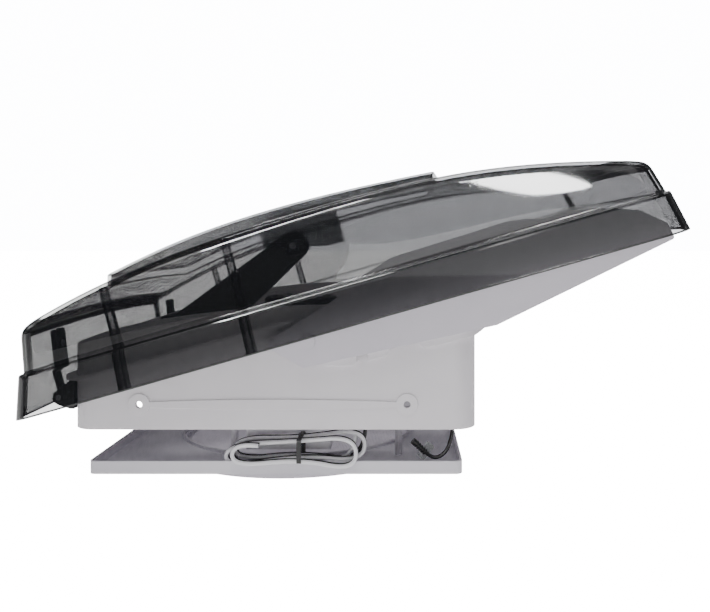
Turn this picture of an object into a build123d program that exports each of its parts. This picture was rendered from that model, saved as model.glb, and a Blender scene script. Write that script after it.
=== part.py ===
from build123d import *
import math
import os

# A low-profile caravan roof vent: a square collar stands over the roof opening, a fan
# blows through it, and a smoked rain lid lifts at one end on an arm. A white rain shield
# closes the sides under the raised lid, and a ceiling panel hangs below on posts.
# Frame: origin in the middle of the collar's bottom rim, +X to the lid's lifting end,
# +Z up. Lengths are millimetres and angles are degrees. The lid, the shield and the arm
# are drawn in their closed places and turned to the open ones at the end.

# Fits and overruns
CUT = 2.0
RUNNING_FIT = 0.05
SEAT_GAP = 0.3
SIDE_GAP = 0.5
PANEL_SCREW_R = 2.0
SMALL_SCREW_R = 1.5

# Base housing
DECK_MARGIN = 18.0
BASE_CORNER_R = 20.0
BASE_WALL = 3.0
BASE_TOP = 109.0
BASE_TOP_SHARES = [(-0.5, 0.672), (-0.39, 0.806), (-0.22, 0.911), (0.13, 1.0), (0.5, 0.899)]
LEDGE_WIDTH = 9.0
LEDGE_THICK = 3.0
SHELF_Z = 0.5
LIP_OUT = 4.3
LIP_END_OUT = 9.7
LIP_THICK = 3.0
LIP_CORNER_R = 24.0
LIP_SHARES = [(-0.56, 0.395), (-0.482, 0.393), (-0.43, 0.432), (0.018, 0.83), (0.045, 0.836)]
PAD_SHARES = [
    [(0.128, 0.523), (0.194, 0.518), (0.206, 0.547), (0.206, 0.606), (0.128, 0.58)],
    [(0.233, 0.562), (0.276, 0.594), (0.286, 0.639), (0.286, 0.7), (0.231, 0.65)],
    [(0.357, 0.694), (0.371, 0.66), (0.496, 0.758), (0.53, 0.82), (0.53, 0.86), (0.357, 0.74)],
]
SIDE_SCREW_SPACING = 234.0
SIDE_SCREW_Z = 22.0
SIDE_SCREW_HOLE_R = 3.0
SIDE_BOSS_R = 9.5
SIDE_BOSS_OUT = 1.2
BEAD_END_HEIGHT = 4.0
BEAD_MID_HEIGHT = 9.0

# Fan shroud and fan
FAN_R = 150.0
FAN_TIP_GAP = 4.5
SHROUD_WALL = 2.5
SHROUD_LOW = 4.0
SHROUD_TOP = 40.0
DECK_THICK = 3.0
DECK_Z = 30.0
FAN_LOW = 11.0
FAN_HUB_R = 46.0
FAN_HUB_HEIGHT = 22.0
FAN_HUB_WALL = 2.5
FAN_BOSS_R = 10.0
BLADE_COUNT = 10
BLADE_ROOT_CHORD = 34.0
BLADE_TIP_CHORD = 62.0
BLADE_ROOT_ANGLE = 38.0
BLADE_TIP_ANGLE = 19.0
BLADE_THICK = 2.2
BLADE_CAMBER_SHARE = 0.09
SHAFT_R = 4.0
CLIP_R = 7.5
CLIP_THICK = 2.0

# Motor and the bridge that carries it
BRIDGE_THICK = 4.0
BRIDGE_ARM_WIDTH = 22.0
BRIDGE_RING_R = 42.0
BRIDGE_RING_WALL = 3.0
PEDESTAL_HEIGHT = 12.0
BRIDGE_BORE_R = 12.0
MOTOR_R = 40.0
MOTOR_HEIGHT = 51.0
MOTOR_EDGE_R = 4.0
MOTOR_EAR_R = 6.0
CAP_R = 26.0
CAP_THICK = 1.5

# Lift gear
ARM_PIVOT_X = -115.0
ARM_PIVOT_Z = 62.0
ARM_REACH = 151.3
ARM_OPEN_ANGLE = 40.1
ARM_TRAVEL = 25.0
ARM_Y = -60.0
ARM_THICK = 12.0
ARM_TAIL_R = 25.0
ARM_HEAD_R = 14.5
ARM_PIN_R = 3.5
ARM_WEB = 4.0
ARM_RIM = 3.0
LIFT_SHAFT_R = 5.0
GEARBOX_LENGTH = 50.0
GEARBOX_WIDTH = 32.0
GEARBOX_HEIGHT = 42.0
GEARBOX_COVER = 5.0
GEARBOX_EDGE_R = 4.0
LIFT_MOTOR_R = 14.0
LIFT_MOTOR_LENGTH = 48.0

# Lid, drawn closed with its rim level
LID_TAIL = 29.5
LID_OVERHANG = 202.5
LID_SIDE_CLEAR = 22.6
LID_RIM_Z = 19.2
LID_WALL = 3.2
LID_OPEN_ANGLE = 15.85
SKIRT_HEIGHT = 36.0
SKIRT_FLARE = 7.5
SKIRT_LOW_FLARE = 8.4
SKIRT_HIGH_FLARE = 5.0
SKIRT_CORNER_R = 24.0
LEDGE_SIDE = 6.0
LEDGE_LOW = 3.3
LEDGE_HIGH = 3.0
DOME_CORNER_R = 20.0
DOME_SIDE_DRAFT = 4.8
DOME_LOW_DRAFT = 9.2
DOME_HIGH_DRAFT = 14.0
DOME_HEIGHT = 104.0
DOME_EDGE_R = 8.0
DOME_TOP_SHARES = [
    (-0.05, 0.54), (0.083, 0.775), (0.22, 0.921), (0.39, 0.99), (0.55, 1.0),
    (0.743, 0.922), (0.893, 0.743), (1.05, 0.48),
]
DOME_CROWN = 6.0
STRIP_HALF_WIDTH = 130.0
STRIP_TOP_SHARES = [(0.134, 0.979), (0.232, 1.08), (0.4, 1.15), (0.55, 1.13), (0.68, 1.077)]
STRIP_FOOT_SHARE = 0.7
RIB_PLACE_SHARES = [0.169, 0.354]
RIB_WIDTH = 8.0
RIB_WALL = 1.6
RIB_GAP = 0.9

# Lift bracket under the lid
BRACKET_BEHIND = 30.4
BRACKET_AHEAD = 50.2
BRACKET_PLATE = 2.5
BRACKET_BASE = 3.0
BRACKET_GAP = 2.0
BRACKET_FLANGE = 7.0
BRACKET_BEHIND_RISE = 6.2
BRACKET_AHEAD_FALL = 13.8
SLOT_RIM = 3.0
SLOT_SLIDE = 5.5
SLOT_LIFT = 1.5

# Hinges
HINGE_OUT = 14.0
HINGE_Z = 26.0
HINGE_INSET = 19.0
HINGE_PIN_R = 2.5
KNUCKLE_R = 4.8
KNUCKLE_WIDTH = 12.0
LEAF_THIN = 2.0
LEAF_THICK = 5.0
LEAF_WIDTH = 18.0
LEAF_FOOT = 30.5
LEAF_TOP = 66.0
LEAF_INSET = 32.5
LEAF_JOG = 2.0
LEAF_SCREW_SHARES = [0.28, 0.62]
CHEEK = 3.5
HINGE_BLOCK_LOW = 16.0
HINGE_BLOCK_TOP = 41.5
HINGE_BOSS_R = 4.5

# Rain shield, drawn closed with its floor level
PIVOT_X = 31.4
PIVOT_Z = 77.3
PIVOT_R = 4.0
PIVOT_HEAD_R = 6.2
PIVOT_HEAD = 1.4
PIVOT_BOSS_R = 8.5
SHIELD_OPEN_ANGLE = 26.0
WING_THICK = 2.6
WING_LOW_X = -1.5
WING_END_CLEAR = 24.5
WING_FLOOR_Z = 19.0
WING_HEIGHT = 87.4
WING_SHARES = [
    (0.0, 0.83), (0.005, 0.755), (0.054, 0.46), (0.521, 0.0), (1.0, 0.0), (1.0, 0.165),
    (0.953, 0.403), (0.86, 0.62), (0.786, 0.715), (0.593, 0.832), (0.47, 0.913),
    (0.326, 1.0), (0.29, 0.975), (0.168, 0.919), (0.033, 0.866),
]
WING_CORNER_R = 2.5
FLOOR_CLEAR = 7.0
FLOOR_THICK = 2.6
FLOOR_RIM = 14.0
GRILLE_FRAME = 6.0
GRILLE_THICK = 4.0
LOUVRE_COUNT = 11
LOUVRE_WIDTH = 13.0
LOUVRE_THICK = 1.6
LOUVRE_ANGLE = 35.0
GRILLE_BARS = 2

# Ceiling panel
PANEL_BORDER = 18.5
PANEL_TOP = -31.1
PANEL_FLOOR = -40.0
PANEL_THICK = 2.6
PANEL_WALL = 2.5
PANEL_CORNER_R = 6.0
HOLE_RIM_HEIGHT = 3.0
COLLAR_DEPTH = 4.0
BEZEL_R = 148.0
BEZEL_WIDTH = 23.0
BEZEL_BOTTOM = -53.2
BEZEL_WALL = 2.5
BEZEL_EDGE_R = 2.0
POST_R = 3.4
POST_HEAD_R = 5.0
POST_HEAD = 2.0
POST_PLACE_SHARES = [(0.327, -0.34), (-0.135, -0.384), (-0.327, 0.34), (0.135, 0.384)]
SCREEN_STEP = 3.0
SCREEN_SEAT = 4.0
SCREEN_THICK = 1.0
SCREEN_PITCH = 14.5
SCREEN_STRAND = 2.0
LATCH_WIDTH = 9.0
LATCH_THICK = 2.4
LATCH_PIN_R = 2.2
LATCH_PIN_HEAD = 1.4

# Controls
BOX_LENGTH = 78.0
BOX_WIDTH = 34.0
BOX_HEIGHT = 27.0
BOX_X = 8.0
BOX_INSET = 50.0
BOX_WALL = 2.0
BOX_EDGE_R = 2.0
BOARD_THICK = 1.6
KEYPAD_OUT = 30.2
KEYPAD_LENGTH = 46.0
KEYPAD_WIDTH = 30.0
KEYPAD_THICK = 3.0
KEY_R = 4.0
KEY_SPACING_X = 13.0
KEY_SPACING_Y = 12.0
KEY_OFFSET_X = -6.0
KEY_PROUD = 1.4
KEY_FLANGE = 1.0
KEY_GAP = 0.2
SENSOR_R = 3.0
SENSOR_OFFSET_X = 14.0

# Leads, with their routes chosen by hand. An inset is a loop's plane inside the near wall.
LEAD_R = 1.8
WHITE_EXIT_X = 71.0
BLACK_EXIT_X = 79.0
WHITE_INSETS = [24.9, 16.5, 5.0]
BLACK_INSETS = [29.1, 20.7, 9.2]
LOOP_LEFT = (-41.0, -26.5, 8.8)
LOOP_RIGHT = (74.0, -20.5, 15.2)
LOOP_WAIST = (22.0, -20.2, 7.2)
LOOP_TAIL = (-14.0, -15.7)
MOST_BEND_R = 60.0
BEND_SHARE = 0.45
TIE_WIDTH = 4.0
TIE_THICK = 0.9
TIE_FIT = 0.7
TIE_HEAD = 4.5
SENSOR_LEAD_R = 1.7
SENSOR_ROUTE = [
    (160.0, -128.0, -3.0), (160.0, -128.0, -11.0), (158.5, -131.0, -20.0),
    (155.0, -134.5, -29.0), (148.5, -137.0, -35.6), (140.0, -137.6, -36.6), (134.5, -138.0, -31.5),
]
RELIEF_TIP_R = 2.1
RELIEF_R = 3.0
RELIEF_LENGTH = 13.0
RELIEF_RIBS = 5
RELIEF_HEAD = 3.6
PLUG_LENGTH = 15.0
PLUG_WIDTH = 7.0
PLUG_HEIGHT = 8.0
PLUG_LEAN = 40.0
GROMMET_R = 3.4
GROMMET_DEPTH = 3.5
GROMMET_WALL = 1.2

# Values worked out from the driving dimensions
SHROUD_R = FAN_R + FAN_TIP_GAP
SHROUD_OUT_R = SHROUD_R + SHROUD_WALL
INNER_HALF = SHROUD_OUT_R + DECK_MARGIN
BASE_HALF = INNER_HALF + BASE_WALL
BASE_SIDE = 2 * BASE_HALF
BRIDGE_Z = SHROUD_TOP
MOTOR_Z = BRIDGE_Z + PEDESTAL_HEIGHT
MOTOR_TOP = MOTOR_Z + MOTOR_HEIGHT
FAN_MID_Z = FAN_LOW + FAN_HUB_HEIGHT / 2
HINGE_X = -BASE_HALF - HINGE_OUT
HINGE_Y = BASE_HALF - HINGE_INSET
LID_LOW_X = HINGE_X - LID_TAIL
LID_HIGH_X = BASE_HALF + LID_OVERHANG
LID_LENGTH = LID_HIGH_X - LID_LOW_X
WING_IN = BASE_HALF + LIP_OUT + SIDE_GAP
WING_OUT = WING_IN + WING_THICK
LID_HALF = WING_OUT + LID_SIDE_CLEAR
WING_HIGH_X = LID_HIGH_X - WING_END_CLEAR
WING_LENGTH = WING_HIGH_X - WING_LOW_X
FLOOR_LOW_X = BASE_HALF + FLOOR_CLEAR
STRIP_UNDER_Z = LID_RIM_Z + DOME_HEIGHT * STRIP_TOP_SHARES[2][1] - LID_WALL
ARM_CLOSED_ANGLE = ARM_OPEN_ANGLE - ARM_TRAVEL
ARM_NEAR_Y = ARM_Y - ARM_THICK / 2
ARM_FAR_Y = ARM_Y + ARM_THICK / 2
GEARBOX_FAR_Y = ARM_FAR_Y + BRACKET_GAP + GEARBOX_COVER + GEARBOX_WIDTH
PANEL_HALF = BEZEL_R + PANEL_BORDER
PANEL_SIDE = 2 * PANEL_HALF
BEZEL_HOLE_R = BEZEL_R - BEZEL_WIDTH - SCREEN_STEP - SCREEN_SEAT
SCREEN_R = BEZEL_HOLE_R + SCREEN_SEAT
PANEL_HOLE_R = SCREEN_R + SCREEN_STEP
KEYPAD_X = (BEZEL_R + KEYPAD_OUT) * math.cos(math.radians(45))
KEYPAD_Y = KEYPAD_X
PANEL_UNDER = PANEL_FLOOR - PANEL_THICK
LEDGE_Z = DECK_Z - LEDGE_THICK
SHELF_TOP = SHELF_Z + LEDGE_THICK
BOX_Y = BOX_INSET - BASE_HALF
WHITE_PLANES = [inset - BASE_HALF for inset in WHITE_INSETS]
BLACK_PLANES = [inset - BASE_HALF for inset in BLACK_INSETS]
SHELF_LOW_X = BOX_X - BOX_LENGTH / 2 - 4 * PANEL_SCREW_R
SHELF_HIGH_X = BLACK_EXIT_X + 3 * GROMMET_R
SHELF_IN_Y = BOX_Y + BOX_WIDTH / 2
LEAF_LEAN = math.tan(math.radians(DOME_LOW_DRAFT))
CHEEK_Y = KNUCKLE_WIDTH / 2 + SIDE_GAP
COLLAR_FOOT = PANEL_UNDER - COLLAR_DEPTH
BEZEL_FLANGE = COLLAR_FOOT - BEZEL_WALL
LATCH_Z = BEZEL_FLANGE - SEAT_GAP
LATCH_R = BEZEL_R + LATCH_WIDTH
LATCH_NOTCH = LATCH_WIDTH + BEZEL_EDGE_R + 2 * SIDE_GAP


def box(x0, x1, y0, y1, z0, z1):
    """A block between two corners."""
    middle = Pos((x0 + x1) / 2, (y0 + y1) / 2, (z0 + z1) / 2)
    return middle * Box(x1 - x0, y1 - y0, z1 - z0)


def rod_z(radius, x, y, z0, z1):
    """A cylinder that stands along Z."""
    return Pos(x, y, (z0 + z1) / 2) * Cylinder(radius, z1 - z0)


def rod_y(radius, x, z, y0, y1):
    """A cylinder that lies along Y."""
    return Pos(x, (y0 + y1) / 2, z) * Rot(90, 0, 0) * Cylinder(radius, y1 - y0)


def rod_x(radius, y, z, x0, x1):
    """A cylinder that lies along X."""
    return Pos((x0 + x1) / 2, y, z) * Rot(0, 90, 0) * Cylinder(radius, x1 - x0)


def plan_block(x0, x1, half_y, corner_r, z0, z1):
    """A block with rounded corners in plan, symmetrical about Y = 0."""
    sketch = Pos((x0 + x1) / 2, 0, z0) * RectangleRounded(x1 - x0, 2 * half_y, corner_r)
    return extrude(sketch, amount=z1 - z0)


def square_block(half, corner_r, z0, z1):
    """A square block with rounded corners, centred on the Z axis."""
    return plan_block(-half, half, half, corner_r, z0, z1)


def side_prism(outline, y0, y1):
    """An outline in X and Z drawn out from y0 to y1."""
    face = Plane.XZ * make_face(outline)
    return Pos(0, y0, 0) * extrude(face, amount=-(y1 - y0))


def share_points(shares, x0, length, z0, height):
    """Points given as shares of a length and a height, from a corner at x0, z0."""
    return [(x0 + a * length, z0 + b * height) for a, b in shares]


def both_sides(part):
    """A piece and its mirror image across the XZ plane."""
    return part + mirror(part, about=Plane.XZ)


def opened_lid(part):
    """Turn a piece drawn with the closed lid to its open place."""
    return part.rotate(Axis((HINGE_X, 0, HINGE_Z), (0, 1, 0)), -LID_OPEN_ANGLE)


def opened_shield(part):
    """Turn a piece drawn with the closed shield to its open place."""
    return part.rotate(Axis((PIVOT_X, 0, PIVOT_Z), (0, 1, 0)), -SHIELD_OPEN_ANGLE)


def opened_arm(part):
    """Turn a piece drawn along a level arm to its open place."""
    return part.rotate(Axis((ARM_PIVOT_X, 0, ARM_PIVOT_Z), (0, 1, 0)), -ARM_OPEN_ANGLE)


def side_lip(shares, thick, low_x, high_x):
    """A gutter lip that follows a line on the collar's walls and stands out from them."""
    line = share_points(shares, 0, BASE_SIDE, 0, BASE_TOP)
    top = [(x, z + thick) for x, z in reversed(line)]
    band = side_prism(Polyline(*line, *top, close=True), -BASE_HALF - LIP_OUT, BASE_HALF + LIP_OUT)
    return band & plan_block(low_x, high_x, BASE_HALF + LIP_OUT, LIP_CORNER_R, 0, BASE_TOP)


def side_bead():
    """The spindle-shaped bead between the two side screws of one wall."""
    half = SIDE_SCREW_SPACING / 2
    ends = BEAD_END_HEIGHT / 2
    top = ThreePointArc(
        (-half, SIDE_SCREW_Z + ends),
        (0, SIDE_SCREW_Z + BEAD_MID_HEIGHT / 2),
        (half, SIDE_SCREW_Z + ends),
    )
    low = ThreePointArc(
        (half, SIDE_SCREW_Z - ends),
        (0, SIDE_SCREW_Z - BEAD_MID_HEIGHT / 2),
        (-half, SIDE_SCREW_Z - ends),
    )
    outline = top + Line(top @ 1, low @ 0) + low + Line(low @ 1, top @ 0)
    return side_prism(outline, -BASE_HALF - SIDE_BOSS_OUT, -BASE_HALF + SIDE_BOSS_OUT)


def base_housing():
    """The square collar with its arched walls, gutter lips, screw bosses and deck ledge."""
    points = share_points(BASE_TOP_SHARES, 0, BASE_SIDE, 0, BASE_TOP)
    arch = Spline(*points)
    skirt = Polyline(points[-1], (BASE_HALF, -CUT), (-BASE_HALF, -CUT), points[0])
    walls = side_prism(arch + skirt, -BASE_HALF, BASE_HALF)
    walls &= square_block(BASE_HALF, BASE_CORNER_R, 0, BASE_TOP + CUT)
    walls += side_lip(LIP_SHARES, LIP_THICK, -BASE_HALF - LIP_END_OUT, BASE_HALF)
    for shares in PAD_SHARES:
        outline = share_points(shares, 0, BASE_SIDE, 0, BASE_TOP)
        pad = side_prism(Polyline(*outline, close=True), -BASE_HALF - LIP_OUT, BASE_HALF + LIP_OUT)
        reach = BASE_HALF + LIP_END_OUT
        walls += pad & plan_block(-reach, reach, BASE_HALF + LIP_OUT, LIP_CORNER_R, 0, BASE_TOP)
    fittings = side_bead()
    for x in (-SIDE_SCREW_SPACING / 2, SIDE_SCREW_SPACING / 2):
        fittings += rod_y(
            SIDE_BOSS_R, x, SIDE_SCREW_Z, -BASE_HALF - SIDE_BOSS_OUT, -INNER_HALF
        )
    fittings += rod_y(PIVOT_BOSS_R, PIVOT_X, PIVOT_Z, -BASE_HALF - LIP_OUT, -INNER_HALF)
    walls += both_sides(fittings)
    inside_r = BASE_CORNER_R - BASE_WALL
    walls -= square_block(INNER_HALF, inside_r, -CUT, BASE_TOP + CUT)
    ledge = square_block(INNER_HALF + CUT / 2, inside_r, LEDGE_Z, DECK_Z)
    ledge -= square_block(INNER_HALF - LEDGE_WIDTH, inside_r, LEDGE_Z - CUT, DECK_Z + CUT)
    walls += ledge
    for x, y in post_places():
        walls += post_lug(x, y)
    walls += cable_shelf()
    for x in (-SIDE_SCREW_SPACING / 2, SIDE_SCREW_SPACING / 2):
        hole_end = BASE_HALF + SIDE_BOSS_OUT + CUT
        walls -= rod_y(SIDE_SCREW_HOLE_R, x, SIDE_SCREW_Z, -hole_end, hole_end)
    pin_end = BASE_HALF + LIP_OUT + CUT
    walls -= rod_y(PIVOT_R + RUNNING_FIT, PIVOT_X, PIVOT_Z, -pin_end, pin_end)
    return walls


def post_places():
    """The four places of the ceiling panel's posts."""
    return [(a * PANEL_SIDE, b * PANEL_SIDE) for a, b in POST_PLACE_SHARES]


def post_lug(x, y):
    """A lug on the collar's inner wall that a panel post screws up into."""
    side = math.copysign(INNER_HALF + BASE_WALL / 2, y)
    low, high = min(y, side), max(y, side)
    lug = box(x - 2 * POST_R, x + 2 * POST_R, low, high, SHELF_Z, SHELF_TOP)
    lug += rod_z(2 * POST_R, x, y, SHELF_Z, SHELF_TOP)
    return lug - rod_z(PANEL_SCREW_R, x, y, -CUT, SHELF_TOP + CUT)


def lead_exits():
    """The power leads' places in the shelf."""
    return [(WHITE_EXIT_X, WHITE_PLANES[0]), (BLACK_EXIT_X, BLACK_PLANES[0])]


def cable_shelf():
    """The shelf inside the near wall, with the control box under it and the leads' holes."""
    wall_y = -INNER_HALF - BASE_WALL / 2
    shelf = box(SHELF_LOW_X, SHELF_HIGH_X, wall_y, SHELF_IN_Y, SHELF_Z, SHELF_TOP)
    for x, y in lead_exits():
        shelf -= rod_z(GROMMET_R - GROMMET_WALL, x, y, -CUT, SHELF_TOP + CUT)
    x, y = SENSOR_ROUTE[0][:2]
    half = 2 * GROMMET_R
    lug = box(x - half, x + half, wall_y, y + half, SHELF_Z, SHELF_TOP)
    return shelf + (lug - rod_z(GROMMET_R - GROMMET_WALL, x, y, -CUT, SHELF_TOP + CUT))


def fan_shroud():
    """The round venturi with the square deck that lies on the collar's ledge."""
    half = INNER_HALF - SIDE_GAP
    deck = square_block(half, BASE_CORNER_R - BASE_WALL, DECK_Z, DECK_Z + DECK_THICK)
    shroud = deck + rod_z(SHROUD_OUT_R, 0, 0, SHROUD_LOW, SHROUD_TOP)
    for angle in bridge_angles():
        x, y = polar(SHROUD_OUT_R + PANEL_SCREW_R, angle)
        shroud += rod_z(2 * PANEL_SCREW_R, x, y, DECK_Z, SHROUD_TOP)
    return shroud - rod_z(SHROUD_R, 0, 0, SHROUD_LOW - CUT, SHROUD_TOP + CUT)


def polar(radius, angle):
    """The point at a radius and an angle about the Z axis."""
    turn = math.radians(angle)
    return radius * math.cos(turn), radius * math.sin(turn)


def bridge_angles():
    """The directions of the motor bridge's four arms."""
    return (0, 90, 180, 270)


def motor_bridge():
    """Four arms on the shroud's rim, a raised seat for the motor and the lift gear's shelf."""
    reach = SHROUD_OUT_R + PANEL_SCREW_R
    top = BRIDGE_Z + BRIDGE_THICK
    bridge = rod_z(BRIDGE_RING_R, 0, 0, BRIDGE_Z, MOTOR_Z)
    half = BRIDGE_ARM_WIDTH / 2
    for angle in bridge_angles():
        arm = box(0, reach, -half, half, BRIDGE_Z, top)
        arm += rod_z(half, reach, 0, BRIDGE_Z, top)
        rib = BRIDGE_RING_WALL / 2
        arm += box(0, reach - 3 * PANEL_SCREW_R, -rib, rib, BRIDGE_Z, top + BRIDGE_THICK)
        bridge += Rot(0, 0, angle) * arm
    low_x = ARM_PIVOT_X - GEARBOX_LENGTH / 2 - BRIDGE_RING_WALL
    near_y = ARM_FAR_Y + BRACKET_GAP / 2
    bridge += box(low_x, 0, near_y, half, BRIDGE_Z, top)
    core_r = BRIDGE_RING_R - BRIDGE_RING_WALL
    bridge -= rod_z(core_r, 0, 0, top, MOTOR_Z - BRIDGE_RING_WALL)
    shelf_x = ARM_PIVOT_X + GEARBOX_LENGTH / 2 + BRIDGE_RING_WALL
    bridge -= box(low_x - CUT, shelf_x, near_y - CUT, half + CUT, top, MOTOR_Z)
    for angle in bridge_angles():
        x, y = polar(reach, angle)
        bridge -= rod_z(PANEL_SCREW_R + RUNNING_FIT, x, y, BRIDGE_Z - CUT, top + CUT)
    return bridge - rod_z(BRIDGE_BORE_R, 0, 0, BRIDGE_Z - CUT, MOTOR_Z + CUT)


def bridge_screws():
    """The four screws through the ends of the bridge's arms."""
    screws = Part()
    top = BRIDGE_Z + BRIDGE_THICK
    for angle in bridge_angles():
        x, y = polar(SHROUD_OUT_R + PANEL_SCREW_R, angle)
        screw = rod_z(PANEL_SCREW_R, x, y, BRIDGE_Z, top)
        screws += screw + rod_z(2 * PANEL_SCREW_R, x, y, top, top + PANEL_SCREW_R)
    return screws


def motor_ear_places():
    """The three places of the motor's ears."""
    return [polar(MOTOR_R, angle) for angle in (60, 180, 300)]


def fan_motor():
    """The motor's can with a rounded top edge and three fixing ears."""
    can = rod_z(MOTOR_R, 0, 0, MOTOR_Z, MOTOR_TOP)
    can = fillet(can.edges().group_by(Axis.Z)[-1], MOTOR_EDGE_R)
    for x, y in motor_ear_places():
        can += rod_z(MOTOR_EAR_R, x, y, MOTOR_Z, MOTOR_Z + BRIDGE_THICK)
    bore_top = MOTOR_Z + MOTOR_HEIGHT / 2
    return can - rod_z(SHAFT_R + RUNNING_FIT, 0, 0, MOTOR_Z - CUT, bore_top)


def motor_cap():
    """The plain round cap on the motor's top."""
    return rod_z(CAP_R, 0, 0, MOTOR_TOP, MOTOR_TOP + CAP_THICK)


def cap_screws():
    """Two small screws in the motor's cap."""
    screws = Part()
    for side in (-1, 1):
        x = side * CAP_R / 2
        screws += rod_z(2 * SMALL_SCREW_R, x, 0, MOTOR_TOP + CAP_THICK, MOTOR_TOP + 2 * CAP_THICK)
    return screws


def motor_screws():
    """The three screws that hold the motor's ears."""
    screws = Part()
    foot = MOTOR_Z + BRIDGE_THICK
    for x, y in motor_ear_places():
        outward = (MOTOR_R + 2 * SMALL_SCREW_R + SEAT_GAP) / MOTOR_R
        head = rod_z(2 * SMALL_SCREW_R, x * outward, y * outward, foot, foot + SMALL_SCREW_R)
        screws += head
    return screws


def rotor_shaft():
    """The fan's shaft, which runs in the motor and ends under the hub's clip."""
    return rod_z(SHAFT_R, 0, 0, FAN_LOW - 2 * CLIP_THICK, MOTOR_Z + MOTOR_HEIGHT / 2 - CUT)


def blade_section(radius, chord, angle):
    """A thin arched blade section that faces outwards at a radius on the X axis."""
    half = chord / 2
    rise = chord * BLADE_CAMBER_SHARE
    top = ThreePointArc((-half, 0), (0, rise + BLADE_THICK / 2), (half, 0))
    low = ThreePointArc((half, 0), (0, rise - BLADE_THICK / 2), (-half, 0))
    face = make_face(top + low)
    return Pos(radius, 0, FAN_MID_Z) * Rot(angle, 0, 0) * (Plane.YZ * face)


def fan_blade():
    """The fan's hub cup with its boss and its swept ring of blades."""
    top = FAN_LOW + FAN_HUB_HEIGHT
    hub = rod_z(FAN_HUB_R, 0, 0, FAN_LOW, top)
    hub -= rod_z(FAN_HUB_R - FAN_HUB_WALL, 0, 0, FAN_LOW + FAN_HUB_WALL, top + CUT)
    hub += rod_z(FAN_BOSS_R, 0, 0, FAN_LOW, top)
    root_r = FAN_HUB_R - FAN_HUB_WALL / 2
    sections = [
        blade_section(root_r, BLADE_ROOT_CHORD, BLADE_ROOT_ANGLE),
        blade_section(FAN_R, BLADE_TIP_CHORD, BLADE_TIP_ANGLE),
    ]
    blade = loft(sections) & rod_z(FAN_R, 0, 0, FAN_LOW, top)
    fan = hub
    for number in range(BLADE_COUNT):
        fan += Rot(0, 0, number * 360 / BLADE_COUNT) * blade
    return fan - rod_z(SHAFT_R + RUNNING_FIT, 0, 0, FAN_LOW - CUT, top + CUT)


def hub_clip():
    """The spring clip that holds the hub on its shaft."""
    clip = rod_z(CLIP_R, 0, 0, FAN_LOW - CLIP_THICK, FAN_LOW)
    return clip - rod_z(SHAFT_R + RUNNING_FIT, 0, 0, FAN_LOW - CLIP_THICK - CUT, FAN_LOW + CUT)


def lift_gearbox():
    """The lift gear's case on the bridge's shelf."""
    low_x = ARM_PIVOT_X - GEARBOX_LENGTH / 2
    near_y = ARM_FAR_Y + BRACKET_GAP + GEARBOX_COVER
    floor = BRIDGE_Z + BRIDGE_THICK
    case = box(low_x, low_x + GEARBOX_LENGTH, near_y, GEARBOX_FAR_Y, floor, floor + GEARBOX_HEIGHT)
    case = fillet(case.edges().filter_by(Axis.Y), GEARBOX_EDGE_R)
    return case - lift_bore()


def lift_bore():
    """The running bore of the lift shaft through the gearbox and its cover."""
    radius = LIFT_SHAFT_R + RUNNING_FIT
    return rod_y(radius, ARM_PIVOT_X, ARM_PIVOT_Z, ARM_FAR_Y, GEARBOX_FAR_Y - GEARBOX_COVER)


def gearbox_cover():
    """The cover on the gearbox's arm side, with a collar round the shaft."""
    low_x = ARM_PIVOT_X - GEARBOX_LENGTH / 2
    near_y = ARM_FAR_Y + BRACKET_GAP
    floor = BRIDGE_Z + BRIDGE_THICK
    top = floor + GEARBOX_HEIGHT
    cover = box(low_x, low_x + GEARBOX_LENGTH, near_y, near_y + GEARBOX_COVER, floor, top)
    cover = fillet(cover.edges().filter_by(Axis.Y), GEARBOX_EDGE_R)
    collar_y = ARM_FAR_Y + SEAT_GAP
    cover += rod_y(2 * LIFT_SHAFT_R, ARM_PIVOT_X, ARM_PIVOT_Z, collar_y, near_y)
    return cover - lift_bore()


def lift_motor():
    """The small motor behind the gearbox."""
    end_y = GEARBOX_FAR_Y + LIFT_MOTOR_LENGTH
    body = rod_y(LIFT_MOTOR_R, ARM_PIVOT_X, ARM_PIVOT_Z + SEAT_GAP, GEARBOX_FAR_Y, end_y)
    return fillet(body.edges().group_by(Axis.Y)[-1], LIFT_MOTOR_R / 5)


def lift_shaft():
    """The shaft from the gearbox through the arm's tail."""
    end_y = GEARBOX_FAR_Y - 2 * GEARBOX_COVER
    return rod_y(LIFT_SHAFT_R, ARM_PIVOT_X, ARM_PIVOT_Z, ARM_NEAR_Y, end_y)


def arm_outline(trim):
    """The arm's outline: a large tail and a small head joined by their tangents."""
    head_x = ARM_PIVOT_X + ARM_REACH
    tail = Pos(ARM_PIVOT_X, ARM_PIVOT_Z) * Circle(ARM_TAIL_R - trim)
    head = Pos(head_x, ARM_PIVOT_Z) * Circle(ARM_HEAD_R - trim)
    return make_hull(tail.edges() + head.edges())


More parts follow.
